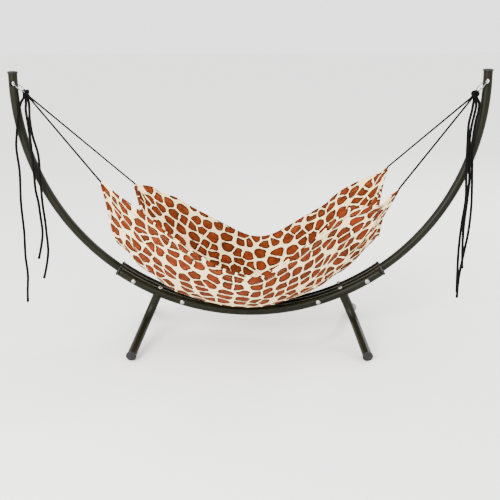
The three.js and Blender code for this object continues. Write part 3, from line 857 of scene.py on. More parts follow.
def fit(obj: bpy.types.Object, material: bpy.types.Material, body: str, slot: str, *nodes: str) -> bpy.types.Object:
    """Dresses a piece, puts it on its body and lets it stand for its frame nodes.

    Args:
        obj: The piece.
        material: Its finish.
        body: Body of the frame that it rides on.
        slot: Material slot of the record; not used.
        *nodes: Frame nodes that it replaces.

    Returns:
        The piece.
    """
    obj.data.materials.clear()
    obj.data.materials.append(material)
    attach(obj, body)
    if nodes:
        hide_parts(*nodes)
    log.info("%s rides on %s", obj.name, body)
    return obj


# ---- Studio


@dataclass
class Studio:
    """Camera at the photograph's viewing angle, soft lights and a pale floor."""

    eye: Vector = field(default_factory=lambda: Vector((0.032, -1.6, 0.5837)))
    pitch_deg: float = 14.13
    yaw_deg: float = -1.15
    roll_deg: float = -0.33
    lens: float = 58.5
    sensor: float = 36.0
    floor_size: float = 60.0
    sky_strength: float = 2.4

    def camera(self) -> None:
        """Makes the camera and sets it as the scene's own."""
        pitch, yaw, roll = (math.radians(a) for a in (self.pitch_deg, self.yaw_deg, self.roll_deg))
        forward = Vector((math.sin(yaw) * math.cos(pitch), math.cos(yaw) * math.cos(pitch), -math.sin(pitch)))
        right = Vector((math.cos(yaw), -math.sin(yaw), 0))
        up = right.cross(forward)
        level = Matrix((right, up, -forward)).transposed()
        turn = level @ Matrix.Rotation(roll, 3, "Z")
        data = bpy.data.cameras.new("camera")
        data.lens = self.lens
        data.sensor_width = self.sensor
        obj = bpy.data.objects.new("camera", data)
        obj.matrix_world = Matrix.Translation(self.eye) @ turn.to_4x4()
        bpy.context.scene.collection.objects.link(obj)
        bpy.context.scene.camera = obj

    def light(self, name: str, place: tuple[float, float, float], size: float, power: float) -> None:
        """Adds a square soft light that faces the middle of the hammock.

        Args:
            name: Name of the light.
            place: Where it stands, in metres.
            size: Length of its side, in metres.
            power: Its power, in watts.
        """
        data = bpy.data.lights.new(name, "AREA")
        data.size = size
        data.energy = power
        obj = bpy.data.objects.new(name, data)
        aim = Vector((0, 0, 0.25)) - Vector(place)
        obj.rotation_euler = aim.to_track_quat("-Z", "Y").to_euler()
        obj.location = place
        bpy.context.scene.collection.objects.link(obj)

    def sky(self) -> None:
        """Makes an even white world, which the floor fades into."""
        world = bpy.data.worlds.new("sky")
        world.use_nodes = True
        background = world.node_tree.nodes["Background"]
        background.inputs["Color"].default_value = (1, 1, 1, 1)
        background.inputs["Strength"].default_value = self.sky_strength
        bpy.context.scene.world = world

    def build(self) -> None:
        """Builds the lights, the sky and the floor."""
        self.light("key", (-1.0, -2.0, 1.3), 1.2, 105.0)
        self.light("back", (1.4, 1.5, 1.6), 0.5, 30.0)
        self.sky()
        bm = bmesh.new()
        bmesh.ops.create_grid(bm, x_segments=8, y_segments=8, size=self.floor_size)
        floor = finish_mesh(bm, "studio_floor")
        floor.data.materials.append(PaleFloor().build())


# ---- Shared layout of the frame


@dataclass(frozen=True)
class Layout:
    """Sizes that several sub-assemblies share, in metres and degrees, as in the CAD model."""

    gap: float = 0.3 * MM
    tube_radius: float = 9 * MM
    tube_wall: float = 1.2 * MM
    arc_radius: float = 458 * MM
    arc_centre: float = 516 * MM
    arc_pitch: float = 20 * MM
    tip_straight: float = 17.5 * MM
    hole_below_end: float = 19 * MM
    hole_radius: float = 5 * MM
    splice_half_deg: float = 35.2
    bolt_degs: tuple[tuple[str, float], ...] = (("inner", 17.5), ("outer", 30.9))
    leg_bolt_deg: float = 24.0

    def arc_point(self, angle: float, y: float) -> Vector:
        """Returns a point on an arc's middle line, with the angle in radians from the lowest point."""
        return Vector((self.arc_radius * math.sin(angle), y, self.arc_centre - self.arc_radius * math.cos(angle)))

    def tip(self, side: Side) -> Vector:
        """Returns the middle of the tube's end at a tip."""
        return Vector((side.value * self.arc_radius, 0, self.arc_centre + self.tip_straight))

    def ring_hole(self, side: Side) -> Vector:
        """Returns the middle of the hole that a ring hangs in."""
        return self.tip(side) - Z_AXIS * self.hole_below_end


LAYOUT = Layout()
ARC_MIDDLE = Vector((0, 0, LAYOUT.arc_centre))


# ---- Stand


@dataclass
class EndPlug:
    """Moulded plug in a tube's end: a ribbed spigot under a domed flange."""

    flange_radius: float = 10.2 * MM
    flange_edge: float = 3 * MM
    dome: float = 5 * MM
    spigot_radius: float = 7.2 * MM
    spigot_length: float = 8 * MM
    edge_round: float = 0.9 * MM
    sides: int = 48
    dome_steps: int = 8

    def mesh(self, name: str) -> bmesh.types.BMesh:
        """Turns the plug with its seat at the origin and its dome along +Z.

        Args:
            name: Name used in the log.

        Returns:
            The closed shape.
        """
        profile = [(0, -self.spigot_length), (self.spigot_radius, -self.spigot_length)]
        profile += [(self.spigot_radius, LAYOUT.gap), (self.flange_radius, LAYOUT.gap)]
        profile += [(self.flange_radius, LAYOUT.gap + self.flange_edge)]
        for i in range(1, self.dome_steps):
            angle = math.pi / 2 * i / self.dome_steps
            height = self.flange_edge + (self.dome - self.flange_edge) * math.sin(angle)
            profile.append((self.flange_radius * math.cos(angle), LAYOUT.gap + height))
        profile.append((0, LAYOUT.gap + self.dome))
        return turned(profile, name, self.sides, self.edge_round)

    def build(self, name: str, seat: Vector, outward: Vector, floor: bool = False) -> bpy.types.Object:
        """Builds one plug.

        Args:
            name: Name of the piece.
            seat: Middle of the tube's end.
            outward: Direction out of the tube.
            floor: Whether the flange is worn flat where it stands on the floor.

        Returns:
            The piece.
        """
        bm = placed(self.mesh(name), seat, outward)
        if floor:
            geom = bm.verts[:] + bm.edges[:] + bm.faces[:]
            sliced = bmesh.ops.bisect_plane(bm, geom=geom, plane_co=(0, 0, 0), plane_no=(0, 0, 1), clear_inner=True)
            rim = [item for item in sliced["geom_cut"] if isinstance(item, bmesh.types.BMEdge)]
            bmesh.ops.edgeloop_fill(bm, edges=rim)
            bmesh.ops.recalc_face_normals(bm, faces=bm.faces)
        return finish_mesh(bm, name)


@dataclass
class Fasteners:
    """M5 button-head screws with a hexagon socket, hexagon nuts and spacers."""

    head_radius: float = 4.75 * MM
    head_height: float = 3 * MM
    shank_radius: float = 2.5 * MM
    socket_across: float = 3 * MM
    socket_depth: float = 1.5 * MM
    nut_across: float = 8 * MM
    nut_height: float = 4.5 * MM
    nut_bore: float = 2.8 * MM
    spacer_radius: float = 5.5 * MM
    spacer_height: float = 1.4 * MM
    edge_round: float = 0.3 * MM
    screw_sides: int = 32
    spacer_sides: int = 40
    head_steps: int = 7
    nut_stand_out: float = 1.5 * MM

    def screw(self, name: str, seat: Vector, direction: Vector, reach: float) -> bpy.types.Object:
        """Builds a screw whose head's seat is at a place and whose shank runs in a direction.

        Args:
            name: Name of the piece.
            seat: Middle of the head's underside.
            direction: Direction in which the shank runs.
            reach: Length of the shank.

        Returns:
            The piece.
        """
        profile = [(0, -self.head_height)]
        for i in range(1, self.head_steps + 1):
            angle = math.pi / 2 * i / self.head_steps
            profile.append((self.head_radius * math.sin(angle), -self.head_height * math.cos(angle) ** 0.8))
        profile[-1] = (self.head_radius, -self.head_height * 0.12)
        profile += [(self.head_radius, 0), (self.shank_radius, 0)]
        end_radius = self.shank_radius - self.edge_round
        profile += [(self.shank_radius, reach - self.edge_round), (end_radius, reach), (0, reach)]
        obj = finish_mesh(placed(turned(profile, name, self.screw_sides), seat, direction), name)
        top = seat - direction.normalized() * (self.head_height + LAYOUT.gap)
        deep = seat - direction.normalized() * (self.head_height - self.socket_depth)
        cut(obj, rod(self.socket_across / 2 / math.cos(math.pi / 6), top, deep, name + "_socket", 6))
        obj.data.set_sharp_from_angle(angle=math.radians(SHARP_DEGREES))
        return obj

    def nut(self, name: str, seat: Vector) -> bpy.types.Object:
        """Builds a nut that sits on a place with its far face towards the rear.

        Args:
            name: Name of the piece.
            seat: Middle of its near face.

        Returns:
            The piece.
        """
        bm = bmesh.new()
        corner = self.nut_across / 2 / math.cos(math.pi / 6)
        bmesh.ops.create_cone(
            bm, cap_ends=True, segments=6, radius1=corner, radius2=corner, depth=self.nut_height
        )
        bevel_sharp(bm, self.edge_round, 2)
        placed(bm, seat + Y_AXIS * self.nut_height / 2, Y_AXIS)
        obj = finish_mesh(bm, name)
        cut(obj, rod(self.nut_bore, seat - Y_AXIS * MM, seat + Y_AXIS * (self.nut_height + MM), name + "_bore"))
        obj.data.set_sharp_from_angle(angle=math.radians(SHARP_DEGREES))
        return obj

    def spacer(self, name: str, middle: Vector) -> bpy.types.Object:
        """Builds a spacer round a screw, between two tubes.

        Args:
            name: Name of the piece.
            middle: Middle of the spacer.

        Returns:
            The piece.
        """
        half = self.spacer_height / 2
        inner, outer = self.nut_bore, self.spacer_radius
        profile = [(inner, -half), (outer, -half), (outer, half), (inner, half), (inner, -half)]
        bm = turned(profile, name, self.spacer_sides, self.edge_round)
        return finish_mesh(placed(bm, middle, Y_AXIS), name)


@dataclass
class Stand:
    """Half-circle of steel tube with its splice arcs, legs, fasteners and plugs."""

    finishes: Finishes
    plug: EndPlug = field(default_factory=EndPlug)
    fasteners: Fasteners = field(default_factory=Fasteners)
    tube_sides: int = 48
    arc_steps: int = 120
    splice_steps: int = 96
    leg_top: float = 13 * MM
    leg_bend_radius: float = 46 * MM
    leg_bend_deg: float = 72.5
    leg_bend_steps: int = 24
    leg_insert: float = 12 * MM
    foot_flat: float = 0.6 * MM

    def main_arc(self, side: Side) -> None:
        """Bends one half of the main arc, drills its ring hole and plugs its end.

        Args:
            side: Which half.
        """
        start = LAYOUT.arc_point(0, 0) + X_AXIS * side.value * LAYOUT.gap / 2
        run = TubeRun(LAYOUT.tube_radius, self.tube_sides, start, X_AXIS * side.value)
        run.bend(ARC_MIDDLE, Y_AXIS, -side.value * math.pi / 2, self.arc_steps)
        run.straight(Z_AXIS * LAYOUT.tip_straight, 2)
        tube = run.walled(f"main_arc_{side.word}_tube", LAYOUT.tube_wall)
        hole = LAYOUT.ring_hole(side)
        reach = Y_AXIS * LAYOUT.tube_radius * 2
        cut(tube, rod(LAYOUT.hole_radius, hole - reach, hole + reach, "ring_hole"))
        tube.data.set_sharp_from_angle(angle=math.radians(SHARP_DEGREES))
        fit(tube, self.finishes.coat, "stand", "frame_tube", f"main_arc_{side.word}")
        plug = self.plug.build(f"{side.word}_tip_plug_cap", LAYOUT.tip(side), Z_AXIS)
        fit(plug, self.finishes.plastic, "stand", "end_plug", f"{side.word}_tip_plug")

    def splice_run(self, y: float, radius: float, sides: int) -> TubeRun:
        """Bends the run of a splice arc with a given section.

        Args:
            y: Place of the arc from front to rear.
            radius: Radius of the section.
            sides: Number of sides of the section.

        Returns:
            The open run.
        """
        half = math.radians(LAYOUT.splice_half_deg)
        run = TubeRun(radius, sides, LAYOUT.arc_point(-half, y), Vector((math.cos(half), 0, -math.sin(half))))
        run.bend(Vector((0, y, LAYOUT.arc_centre)), Y_AXIS, -2 * half, self.splice_steps)
        return run

    def splice_arc(self, face: Face) -> None:
        """Bends a splice arc and plugs both its ends.

        Args:
            face: Which arc.
        """
        y = face.value * LAYOUT.arc_pitch
        half = math.radians(LAYOUT.splice_half_deg)
        tube = self.splice_run(y, LAYOUT.tube_radius, self.tube_sides)
        piece = tube.walled(f"{face.word}_splice_arc_tube", LAYOUT.tube_wall)
        fit(piece, self.finishes.coat, "stand", "frame_tube", f"{face.word}_splice_arc")
        for side in Side:
            name = f"{face.word}_{side.word}_splice_plug"
            outward = Vector((side.value * math.cos(half), 0, math.sin(half)))
            plug = self.plug.build(name + "_cap", LAYOUT.arc_point(side.value * half, y), outward)
            fit(plug, self.finishes.plastic, "stand", "end_plug", name)

    def splice_bolts(self, side: Side) -> None:
        """Builds the screws, nuts and spacers that hold the three arcs together on one side.

        Args:
            side: Which side.
        """
        seat = LAYOUT.arc_pitch + LAYOUT.tube_radius + LAYOUT.gap
        reach = 2 * seat + self.fasteners.nut_height + self.fasteners.nut_stand_out
        for word, degrees in LAYOUT.bolt_degs:
            angle = side.value * math.radians(degrees)
            name = f"{side.word}_{word}"
            screw = self.fasteners.screw(name + "_bolt_screw", LAYOUT.arc_point(angle, -seat), Y_AXIS, reach)
            fit(screw, self.finishes.zinc, "stand", "fastener", name + "_bolt")
            nut = self.fasteners.nut(name + "_nut_hexagon", LAYOUT.arc_point(angle, seat))
            fit(nut, self.finishes.zinc, "stand", "fastener", name + "_nut")
            for face in Face:
                node = f"{name}_{face.word}_spacer"
                middle = LAYOUT.arc_point(angle, face.value * LAYOUT.arc_pitch / 2)
                spacer = self.fasteners.spacer(node + "_ring", middle)
                fit(spacer, self.finishes.plastic, "stand", "spacer", node)

    def leg(self, side: Side, face: Face) -> None:
        """Bends a leg, saddles its top on the splice arc and adds its screw and foot plug.

        Args:
            side: Left or right.
            face: Front or rear.
        """
        angle = side.value * math.radians(LAYOUT.leg_bolt_deg)
        top = LAYOUT.arc_point(angle, face.value * LAYOUT.arc_pitch)
        down = (top - Vector((0, top.y, LAYOUT.arc_centre))).normalized()
        out = Y_AXIS * face.value
        bend = math.radians(self.leg_bend_deg)
        name = f"{face.word}_{side.word}"
        run = TubeRun(LAYOUT.tube_radius, self.tube_sides, top, down)
        run.straight(down * (LAYOUT.tube_radius + self.leg_top), 2)
        knee = top + down * (LAYOUT.tube_radius + self.leg_top)
        run.bend(knee + out * self.leg_bend_radius, down.cross(out), bend, self.leg_bend_steps)
        end = down * math.cos(bend) + out * math.sin(bend)
        bent = knee + down * self.leg_bend_radius * math.sin(bend) + out * self.leg_bend_radius * (1 - math.cos(bend))
        rim_drop = self.plug.flange_radius * math.hypot(end.x, end.y) - self.foot_flat
        plug_drop = (LAYOUT.gap + self.plug.flange_edge) * -end.z
        straight = (bent.z - rim_drop - plug_drop) / -end.z
        run.straight(end * straight, 4)
        tube = run.walled(f"{name}_leg_tube", LAYOUT.tube_wall)
        saddle = self.splice_run(top.y, LAYOUT.tube_radius + LAYOUT.gap, self.tube_sides)
        cut(tube, finish_mesh(saddle.closed(), "saddle"))
        tube.data.set_sharp_from_angle(angle=math.radians(SHARP_DEGREES))
        fit(tube, self.finishes.coat, "stand", "frame_tube", f"{name}_leg")
        seat = LAYOUT.tube_radius + LAYOUT.gap
        reach = seat + LAYOUT.tube_radius + self.leg_insert
        screw = self.fasteners.screw(f"{name}_leg_bolt_screw", top - down * seat, down, reach)
        fit(screw, self.finishes.zinc, "stand", "fastener", f"{name}_leg_bolt")
        foot = self.plug.build(f"{name}_foot_plug_cap", bent + end * straight, end, floor=True)
        fit(foot, self.finishes.plastic, "stand", "foot_plug", f"{name}_foot_plug")

    def build(self) -> None:
        """Builds the whole stand."""
        for face in Face:
            self.splice_arc(face)
        for side in Side:
            self.main_arc(side)
            self.splice_bolts(side)
            for face in Face:
                self.leg(side, face)


# ---- Hanging: rings, knots and cords


@dataclass
class Hanging:
    """A wire ring in each tip, the knot on it, the taut cords to the cloth and the spare cord ends."""

    finishes: Finishes
    ring_outer: float = 32 * MM
    wire: float = 2 * MM
    wire_sides: int = 16
    ring_steps: int = 96
    ring_play: float = 0.8 * MM
    pull_degs: dict = field(default_factory=lambda: {Side.LEFT: 40.0, Side.RIGHT: 48.0})
    knot_distances: dict = field(default_factory=lambda: {Side.LEFT: 30 * MM, Side.RIGHT: 33 * MM})
    knot_half_width: float = 7.5 * MM
    knot_radius: float = 9.5 * MM
    knot_strand: float = 3.1 * MM
    knot_full: float = 1.1
    knot_depth: float = 0.6
    knot_steps: int = 180
    line_diameter: float = 3.8 * MM
    tail_diameter: float = 5.2 * MM
    sealed_rings: int = 4
    sealed_swell: float = 1.12
    turn: float = 8 * MM
    ring_spacing: float = 1.2 * MM
    sides: int = 12

    # Each route is a list of points, given in millimetres, from the knot down.
    tails_mm: dict = field(
        default_factory=lambda: {
            "left_tail_1": [
                (-443, -8, 479), (-446, -13, 467), (-449, -17.5, 445), (-453, -18, 420), (-456, -18, 393),
                (-453, -18, 345), (-455, -18, 283), (-453, -18, 222), (-454, -18, 172), (-452, -18, 135),
                (-455, -18, 98), (-456, -18, 77),
            ],
            "left_tail_2": [
                (-433.5, -9.5, 476), (-433, -15, 464), (-430, -18, 440), (-427, -18, 400), (-425, -18, 347),
                (-424, -18, 308), (-420, -18, 283), (-418, -18, 256), (-416, -18, 222), (-420, -18, 196),
                (-427, -18, 168),
            ],
            "left_tail_3": [
                (-430, -1.5, 480), (-427, -11, 467), (-425, -20, 446), (-421, -22, 415), (-413, -22, 380),
                (-412, -22, 322), (-411, -22, 283), (-408, -22, 245), (-407, -22, 222), (-406, -22, 185),
                (-411, -22, 155), (-418, -22, 128),
            ],
            "right_tail_1": [
                (436.5, -10, 471), (434, -14, 458), (428, -18, 430), (426, -18, 400), (428, -18, 360),
                (430, -18, 320), (428, -19, 285), (424, -22, 240), (423, -23, 200), (425, -23, 149),
            ],
            "right_tail_2": [
                (432, -5, 473), (428, -13, 458), (422, -20, 436), (421, -23, 400), (422, -23, 340),
                (424, -23, 290), (419, -23, 240), (416, -23, 190), (416, -23, 140), (417, -23, 100),
            ],
            "right_tail_3": [
                (443, -6, 474), (441, -12, 460), (435, -18, 436), (432, -18, 400), (434, -18, 350),
                (436, -18, 310), (437, -18, 270), (434, -18, 220), (428, -18, 180), (421, -18, 130),
                (419, -18, 86),
            ],
        }
    )

    def pull(self, side: Side) -> Vector:
        """Returns the direction in which the cords pull a ring."""
        angle = math.radians(self.pull_degs[side])
        return Vector((-side.value * math.cos(angle), 0, -math.sin(angle)))

    def knot_centre(self, side: Side) -> Vector:
        """Returns the middle of a knot."""
        return LAYOUT.ring_hole(side) + self.pull(side) * self.knot_distances[side]

    def knot_exit(self, side: Side, target: Vector) -> Vector:
        """Returns the point just off a knot's surface that faces a target.

        Args:
            side: Which knot.
            target: The point that a cord leaves the knot for.

        Returns:
            The point where the cord leaves.
        """
        centre = self.knot_centre(side)
        direction = (target - centre).normalized()
        sideways = math.hypot(direction.y, direction.z)
        radius = 1 / math.hypot(direction.x / self.knot_half_width, sideways / self.knot_radius)
        return centre + direction * (radius + LAYOUT.gap)

    def tails(self, side: Side) -> None:
        """Builds the spare cord ends that hang from one knot.

        Args:
            side: Which knot.
        """
        for number in (1, 2, 3):
            node = f"{side.word}_tail_{number}"
            route = [Vector(p) * MM for p in self.tails_mm[node]]
            start = self.knot_exit(side, route[0])
            points = smooth_route([start, *route], self.ring_spacing)
            radii = [self.tail_diameter / 2] * len(points)
            for back in range(1, self.sealed_rings + 1):
                radii[-back] *= self.sealed_swell
            cord = corded(node + "_cord", points, radii, self.sides)
            fit(cord, self.finishes.cord, f"{side.word}_tails", "cord", node)

    def line(self, side: Side, face: Face, corner: Vector) -> None:
        """Builds the taut cord from a knot to a corner of the cloth.

        Args:
            side: Which knot.
            face: Which corner on that side.
            corner: Where that corner is.
        """
        start = self.knot_exit(side, corner)
        finish = corner + (start - corner).normalized() * (self.turn + LAYOUT.gap)
        points = evenly([start, finish], self.ring_spacing)
        node = f"{side.word}_{face.word}_line"
        cord = corded(node + "_cord", points, [self.line_diameter / 2] * len(points), self.sides)
        fit(cord, self.finishes.cord, "sling", "cord", node)

    def ring(self, side: Side) -> None:
        """Bends the wire ring that hangs in a tip's hole.

        Args:
            side: Which tip.
        """
        radius = (self.ring_outer - self.wire) / 2
        wall_reach = LAYOUT.tube_radius - LAYOUT.tube_wall / 2
        seat = LAYOUT.hole_radius - self.wire / 2 - self.ring_play
        pull = self.pull(side)
        centre = LAYOUT.ring_hole(side) + pull * math.sqrt(radius**2 - wall_reach**2)
        centre.x -= side.value * seat
        bm = bmesh.new()
        wire = bmesh.ops.create_circle(bm, cap_ends=False, segments=self.wire_sides, radius=self.wire / 2)["verts"]
        edges = list({e for v in wire for e in v.link_edges})
        placed(bm, centre + pull * radius, Y_AXIS)
        bmesh.ops.spin(
            bm,
            geom=wire + edges,
            cent=centre,
            axis=pull.cross(Y_AXIS),
            angle=2 * math.pi,
            steps=self.ring_steps,
            use_merge=True,
        )
        bmesh.ops.remove_doubles(bm, verts=bm.verts, dist=MERGE)
        bmesh.ops.recalc_face_normals(bm, faces=bm.faces)
        piece = finish_mesh(bm, f"{side.word}_ring_wire")
        fit(piece, self.finishes.chrome, "sling", "ring_wire", f"{side.word}_ring")

    def knot(self, side: Side, targets: list[Vector]) -> None:
        """Ties the knot: a thick strand round three lobes, pulled tight, with the cords coming out of it.

        Args:
            side: Which knot.
            targets: Points that the cords leave the knot for.
        """
        centre = self.knot_centre(side)
        strand = self.knot_strand
        wide, high = self.knot_half_width * self.knot_full - strand, self.knot_radius * self.knot_full - strand
        room = Vector((wide, high, high))
        points = []
        for i in range(self.knot_steps + 1):
            t = 2 * math.pi * i / self.knot_steps
            lobe = Vector(
                (
                    (math.sin(t) + 2 * math.sin(2 * t)) / 3,
                    -math.sin(3 * t) * self.knot_depth,
                    (math.cos(t) - 2 * math.cos(2 * t)) / 3,
                )
            )
            points.append(centre + lobe * room)
        name = f"{side.word}_knot_strand"
        pieces = [corded(name, points, [strand] * len(points), self.sides, False)]
        for target in targets:
            finish = self.knot_exit(side, target)
            stub = evenly([centre, finish - (finish - centre).normalized() * LAYOUT.gap], self.ring_spacing)
            pieces.append(corded("stub", stub, [self.tail_diameter / 2] * len(stub), self.sides, False))
        fit(joined(name, pieces), self.finishes.cord, "sling", "cord", f"{side.word}_knot")

    def build_cords(self, corners: dict) -> None:
        """Builds the free cords: the spare ends and the taut cords.

        Args:
            corners: Corner of the cloth for each side and face.
        """
        for side in Side:
            self.tails(side)
            for face in Face:
                self.line(side, face, corners[side, face])

    def build_fittings(self, corners: dict) -> None:
        """Builds the rings and the knots.

        Args:
            corners: Corner of the cloth for each side and face.
        """
        for side in Side:
            self.ring(side)
            starts = [Vector(self.tails_mm[f"{side.word}_tail_{number}"][0]) * MM for number in (1, 2, 3)]
            self.knot(side, starts + [corners[side, face] for face in Face])


# ---- Sling


@dataclass
class Sling:
    """The printed cloth, its rolled and stitched edges, and the cord in its short hems."""

    finishes: Finishes
    hanging: Hanging
    corners_mm: dict = field(
        default_factory=lambda: {
            (Side.LEFT, Face.FRONT): (-271, -125, 341),
            (Side.LEFT, Face.REAR): (-251, 125, 298),
            (Side.RIGHT, Face.FRONT): (277, -125, 329),
            (Side.RIGHT, Face.REAR): (292, 125, 332),
        }
    )
    hem_lows_mm: dict = field(default_factory=lambda: {Side.LEFT: (-243, 0, 194), Side.RIGHT: (257, 0, 212)})
    hem_sways_mm: dict = field(default_factory=lambda: {Side.LEFT: 15.7, Side.RIGHT: 4.4})
    bed_height_mm: float = 71.0
    half_width_mm: float = 125.0
    mid_half_width_mm: float = 148.0
    depths_mm: dict = field(default_factory=lambda: {Face.FRONT: 166.0, Face.REAR: 136.0})
    hem_pull: float = 4.0
    hem_curves: dict = field(
        default_factory=lambda: {
            (Side.LEFT, Face.FRONT): 2.3,
            (Side.LEFT, Face.REAR): 1.9,
            (Side.RIGHT, Face.FRONT): 1.6,
            (Side.RIGHT, Face.REAR): 2.3,
        }
    )
    section_curve: float = 2.2
    bed_curves: dict = field(default_factory=lambda: {Side.LEFT: 2.47, Side.RIGHT: 2.12})
    edge_shares: dict = field(
        default_factory=lambda: {
            Face.FRONT: [
                (0, 0), (0.01, -0.028), (0.022, -0.012), (0.045, 0.07), (0.106, 0.21), (0.244, 0.56),
                (0.35, 0.8), (0.403, 0.9), (0.472, 0.97), (0.529, 1),
                (0.593, 0.865), (0.638, 0.75), (0.684, 0.62), (0.729, 0.5), (0.78, 0.33), (0.813, 0.22),
                (0.85, 0.175), (0.935, 0.157), (0.96, 0.07), (1, 0),
            ],
            Face.REAR: [
                (0, 0), (0.068, 0.047), (0.107, 0.147), (0.173, 0.27), (0.223, 0.42), (0.295, 0.6),
                (0.361, 0.765), (0.44, 0.94), (0.5, 1), (0.56, 0.95), (0.65, 0.76), (0.757, 0.515),
                (0.788, 0.4), (0.827, 0.29), (0.871, 0.2), (0.923, 0.11), (0.972, 0.066), (1, 0),
            ],
        }
    )
    bare_lift: float = 3 * MM
    cord_clear: float = 9 * MM
    cord_sides: int = 10
    corner_turn: float = 0.45
    flat_size: tuple[float, float] = (0.72, 0.37)
    hem_radius: float = 3.5 * MM
    hem_spacing: float = 1.6 * MM
    hem_sides: int = 20
    hem_gather: float = 0.07
    hem_gather_rate: float = 0.23
    hem_starts: dict = field(
        default_factory=lambda: {
            (Side.LEFT, Face.FRONT): 5 * MM,
            (Side.LEFT, Face.REAR): 5 * MM,
            (Side.RIGHT, Face.FRONT): 24 * MM,
            (Side.RIGHT, Face.REAR): 5 * MM,
        }
    )
    thickness: float = 1.2 * MM
    columns: int = 180
    rows: int = 90
    row_crowding: float = 0.9
    fold_mm: float = 7.0
    fold_reach_mm: float = 170.0
    folds_per_corner: int = 4
    fine_fold_mm: float = 1.6
    # Cotton canvas: stiff along its threads, limp to bend, 2.5% larger than its place, with a light load on top.
    canvas: dict = field(
        default_factory=lambda: {
            "quality": 7,
            "mass": 0.15,
            "tension_stiffness": 12,
            "compression_stiffness": 4,
            "shear_stiffness": 3,
            "bending_stiffness": 0.08,
            "shrink_min": -0.025,
            "uniform_pressure_force": -0.6,
        }
    )
    settle_frames: int = 18
    settle_limit: float = 5 * MM
    tubes_half_width: float = 36 * MM
    band_rows: int = 4
    band_drop: float = 0.9
    band_thickness: float = 0.8 * MM
    roll_radius: float = 1.5 * MM
    roll_spacing: float = 2 * MM
    roll_sides: int = 12
    roll_full: float = 0.9
    roll_uneven: float = 0.2
    roll_rate: float = 0.11
    stitch_pitch: float = 5 * MM
    stitch_radius: float = 0.3 * MM
    stitch_share: float = 0.36
    seam_inset: float = 0.4
    lift_inside: float = 0.5
    lift_outside: float = 1.75

    def corners(self) -> dict:
        """Returns the corners of the cloth in metres."""
        return {key: Vector(point) * MM for key, point in self.corners_mm.items()}

    def hem_point(self, side: Side, across: float) -> Vector:
        """Returns a place on the middle line of a short edge, in millimetres.

        Args:
            side: Which short edge.
            across: Place across the cloth, from -1 in front to 1.

        Returns:
            The place.
        """
        face = Face.FRONT if across < 0 else Face.REAR
        corner = Vector(self.corners_mm[side, face])
        low = Vector(self.hem_lows_mm[side])
        away = abs(across)
        lean = self.hem_sways_mm[side] * math.sin(math.pi * across)
        return Vector(
            (
                low.x + (corner.x - low.x) * away**self.hem_pull + lean,
                low.y + (corner.y - low.y) * away,
                low.z + (corner.z - low.z) * away ** self.hem_curves[side, face],
            )
        )

    def share(self, face: Face, along: float) -> float:
        """Returns how far a long edge hangs at a place, as a share of its depth.

        Args:
            face: Which long edge.
            along: Place along the cloth, from 0 on the left to 1.

        Returns:
            The share, 0 at a corner and 1 at the lowest point.
        """
        pairs = self.edge_shares[face]
        last = len(pairs) - 2
        i = next((k for k in range(last) if along < pairs[k + 1][0]), last)
        (x0, y0), (x1, y1) = pairs[i], pairs[i + 1]
        xa, ya = pairs[i - 1] if i > 0 else (2 * x0 - x1, 2 * y0 - y1)
        xb, yb = pairs[i + 2] if i < last else (2 * x1 - x0, 2 * y1 - y0)
        t = (along - x0) / (x1 - x0)
        m0 = (y1 - ya) / (x1 - xa) * (x1 - x0)
        m1 = (yb - y0) / (xb - x0) * (x1 - x0)
        return (
            (2 * t**3 - 3 * t**2 + 1) * y0
            + (t**3 - 2 * t**2 + t) * m0
            + (3 * t**2 - 2 * t**3) * y1
            + (t**3 - t**2) * m1
        )

    def edge_height(self, face: Face, along: float) -> float:
        """Returns the height of a long edge at a place, in millimetres.

        Args:
            face: Which long edge.
            along: Place along the cloth, from 0 on the left to 1.

        Returns:
            The height.
        """
        left = self.corners_mm[Side.LEFT, face][2]
        right = self.corners_mm[Side.RIGHT, face][2]
        return left + (right - left) * along - self.depths_mm[face] * self.share(face, along)

    def bed_height(self, along: float) -> float:
        """Returns the height of the middle line of the cloth at a place, in millimetres.

        Args:
            along: Place along the cloth, from 0 on the left to 1.

        Returns:
            The height.
        """
        side = Side.LEFT if along < 0.5 else Side.RIGHT
        end = self.hem_lows_mm[side][2]
        return self.bed_height_mm + (end - self.bed_height_mm) * abs(2 * along - 1) ** self.bed_curves[side]

    def fold(self, x: float, y: float, along: float) -> float:
        """Returns the height of the folds that fan out from the nearest corner, in millimetres.

        Args:
            x: Place on the cloth, in millimetres.
            y: Place on the cloth, in millimetres.
            along: Place along the cloth, from 0 on the left to 1.

        Returns:
            The height above the smooth cloth.
        """
        side = Side.LEFT if along < 0.5 else Side.RIGHT
        corner = self.corners_mm[side, Face.FRONT if y < 0 else Face.REAR]
        inward, sideways = abs(x - corner[0]), abs(y - corner[1])
        distance = math.hypot(inward, sideways)
        turn = math.atan2(sideways, inward) / (math.pi / 2)
        reach = self.fold_reach_mm
        fade = math.exp(-((distance / reach) ** 2)) * min(1.0, distance / (reach / 3))
        at_edges = math.sin(math.pi * min(1.0, max(0.0, turn)))
        main = math.cos(2 * math.pi * self.folds_per_corner * turn)
        wander = noise.noise(Vector((turn * 9 + corner[0], distance / 90, corner[1] / 7)))
        fine = math.cos(2 * math.pi * (self.folds_per_corner * 2.5 * turn + wander))
        return fade * (self.fold_mm * at_edges * main + self.fine_fold_mm * fine * math.sqrt(max(0.0, at_edges)))

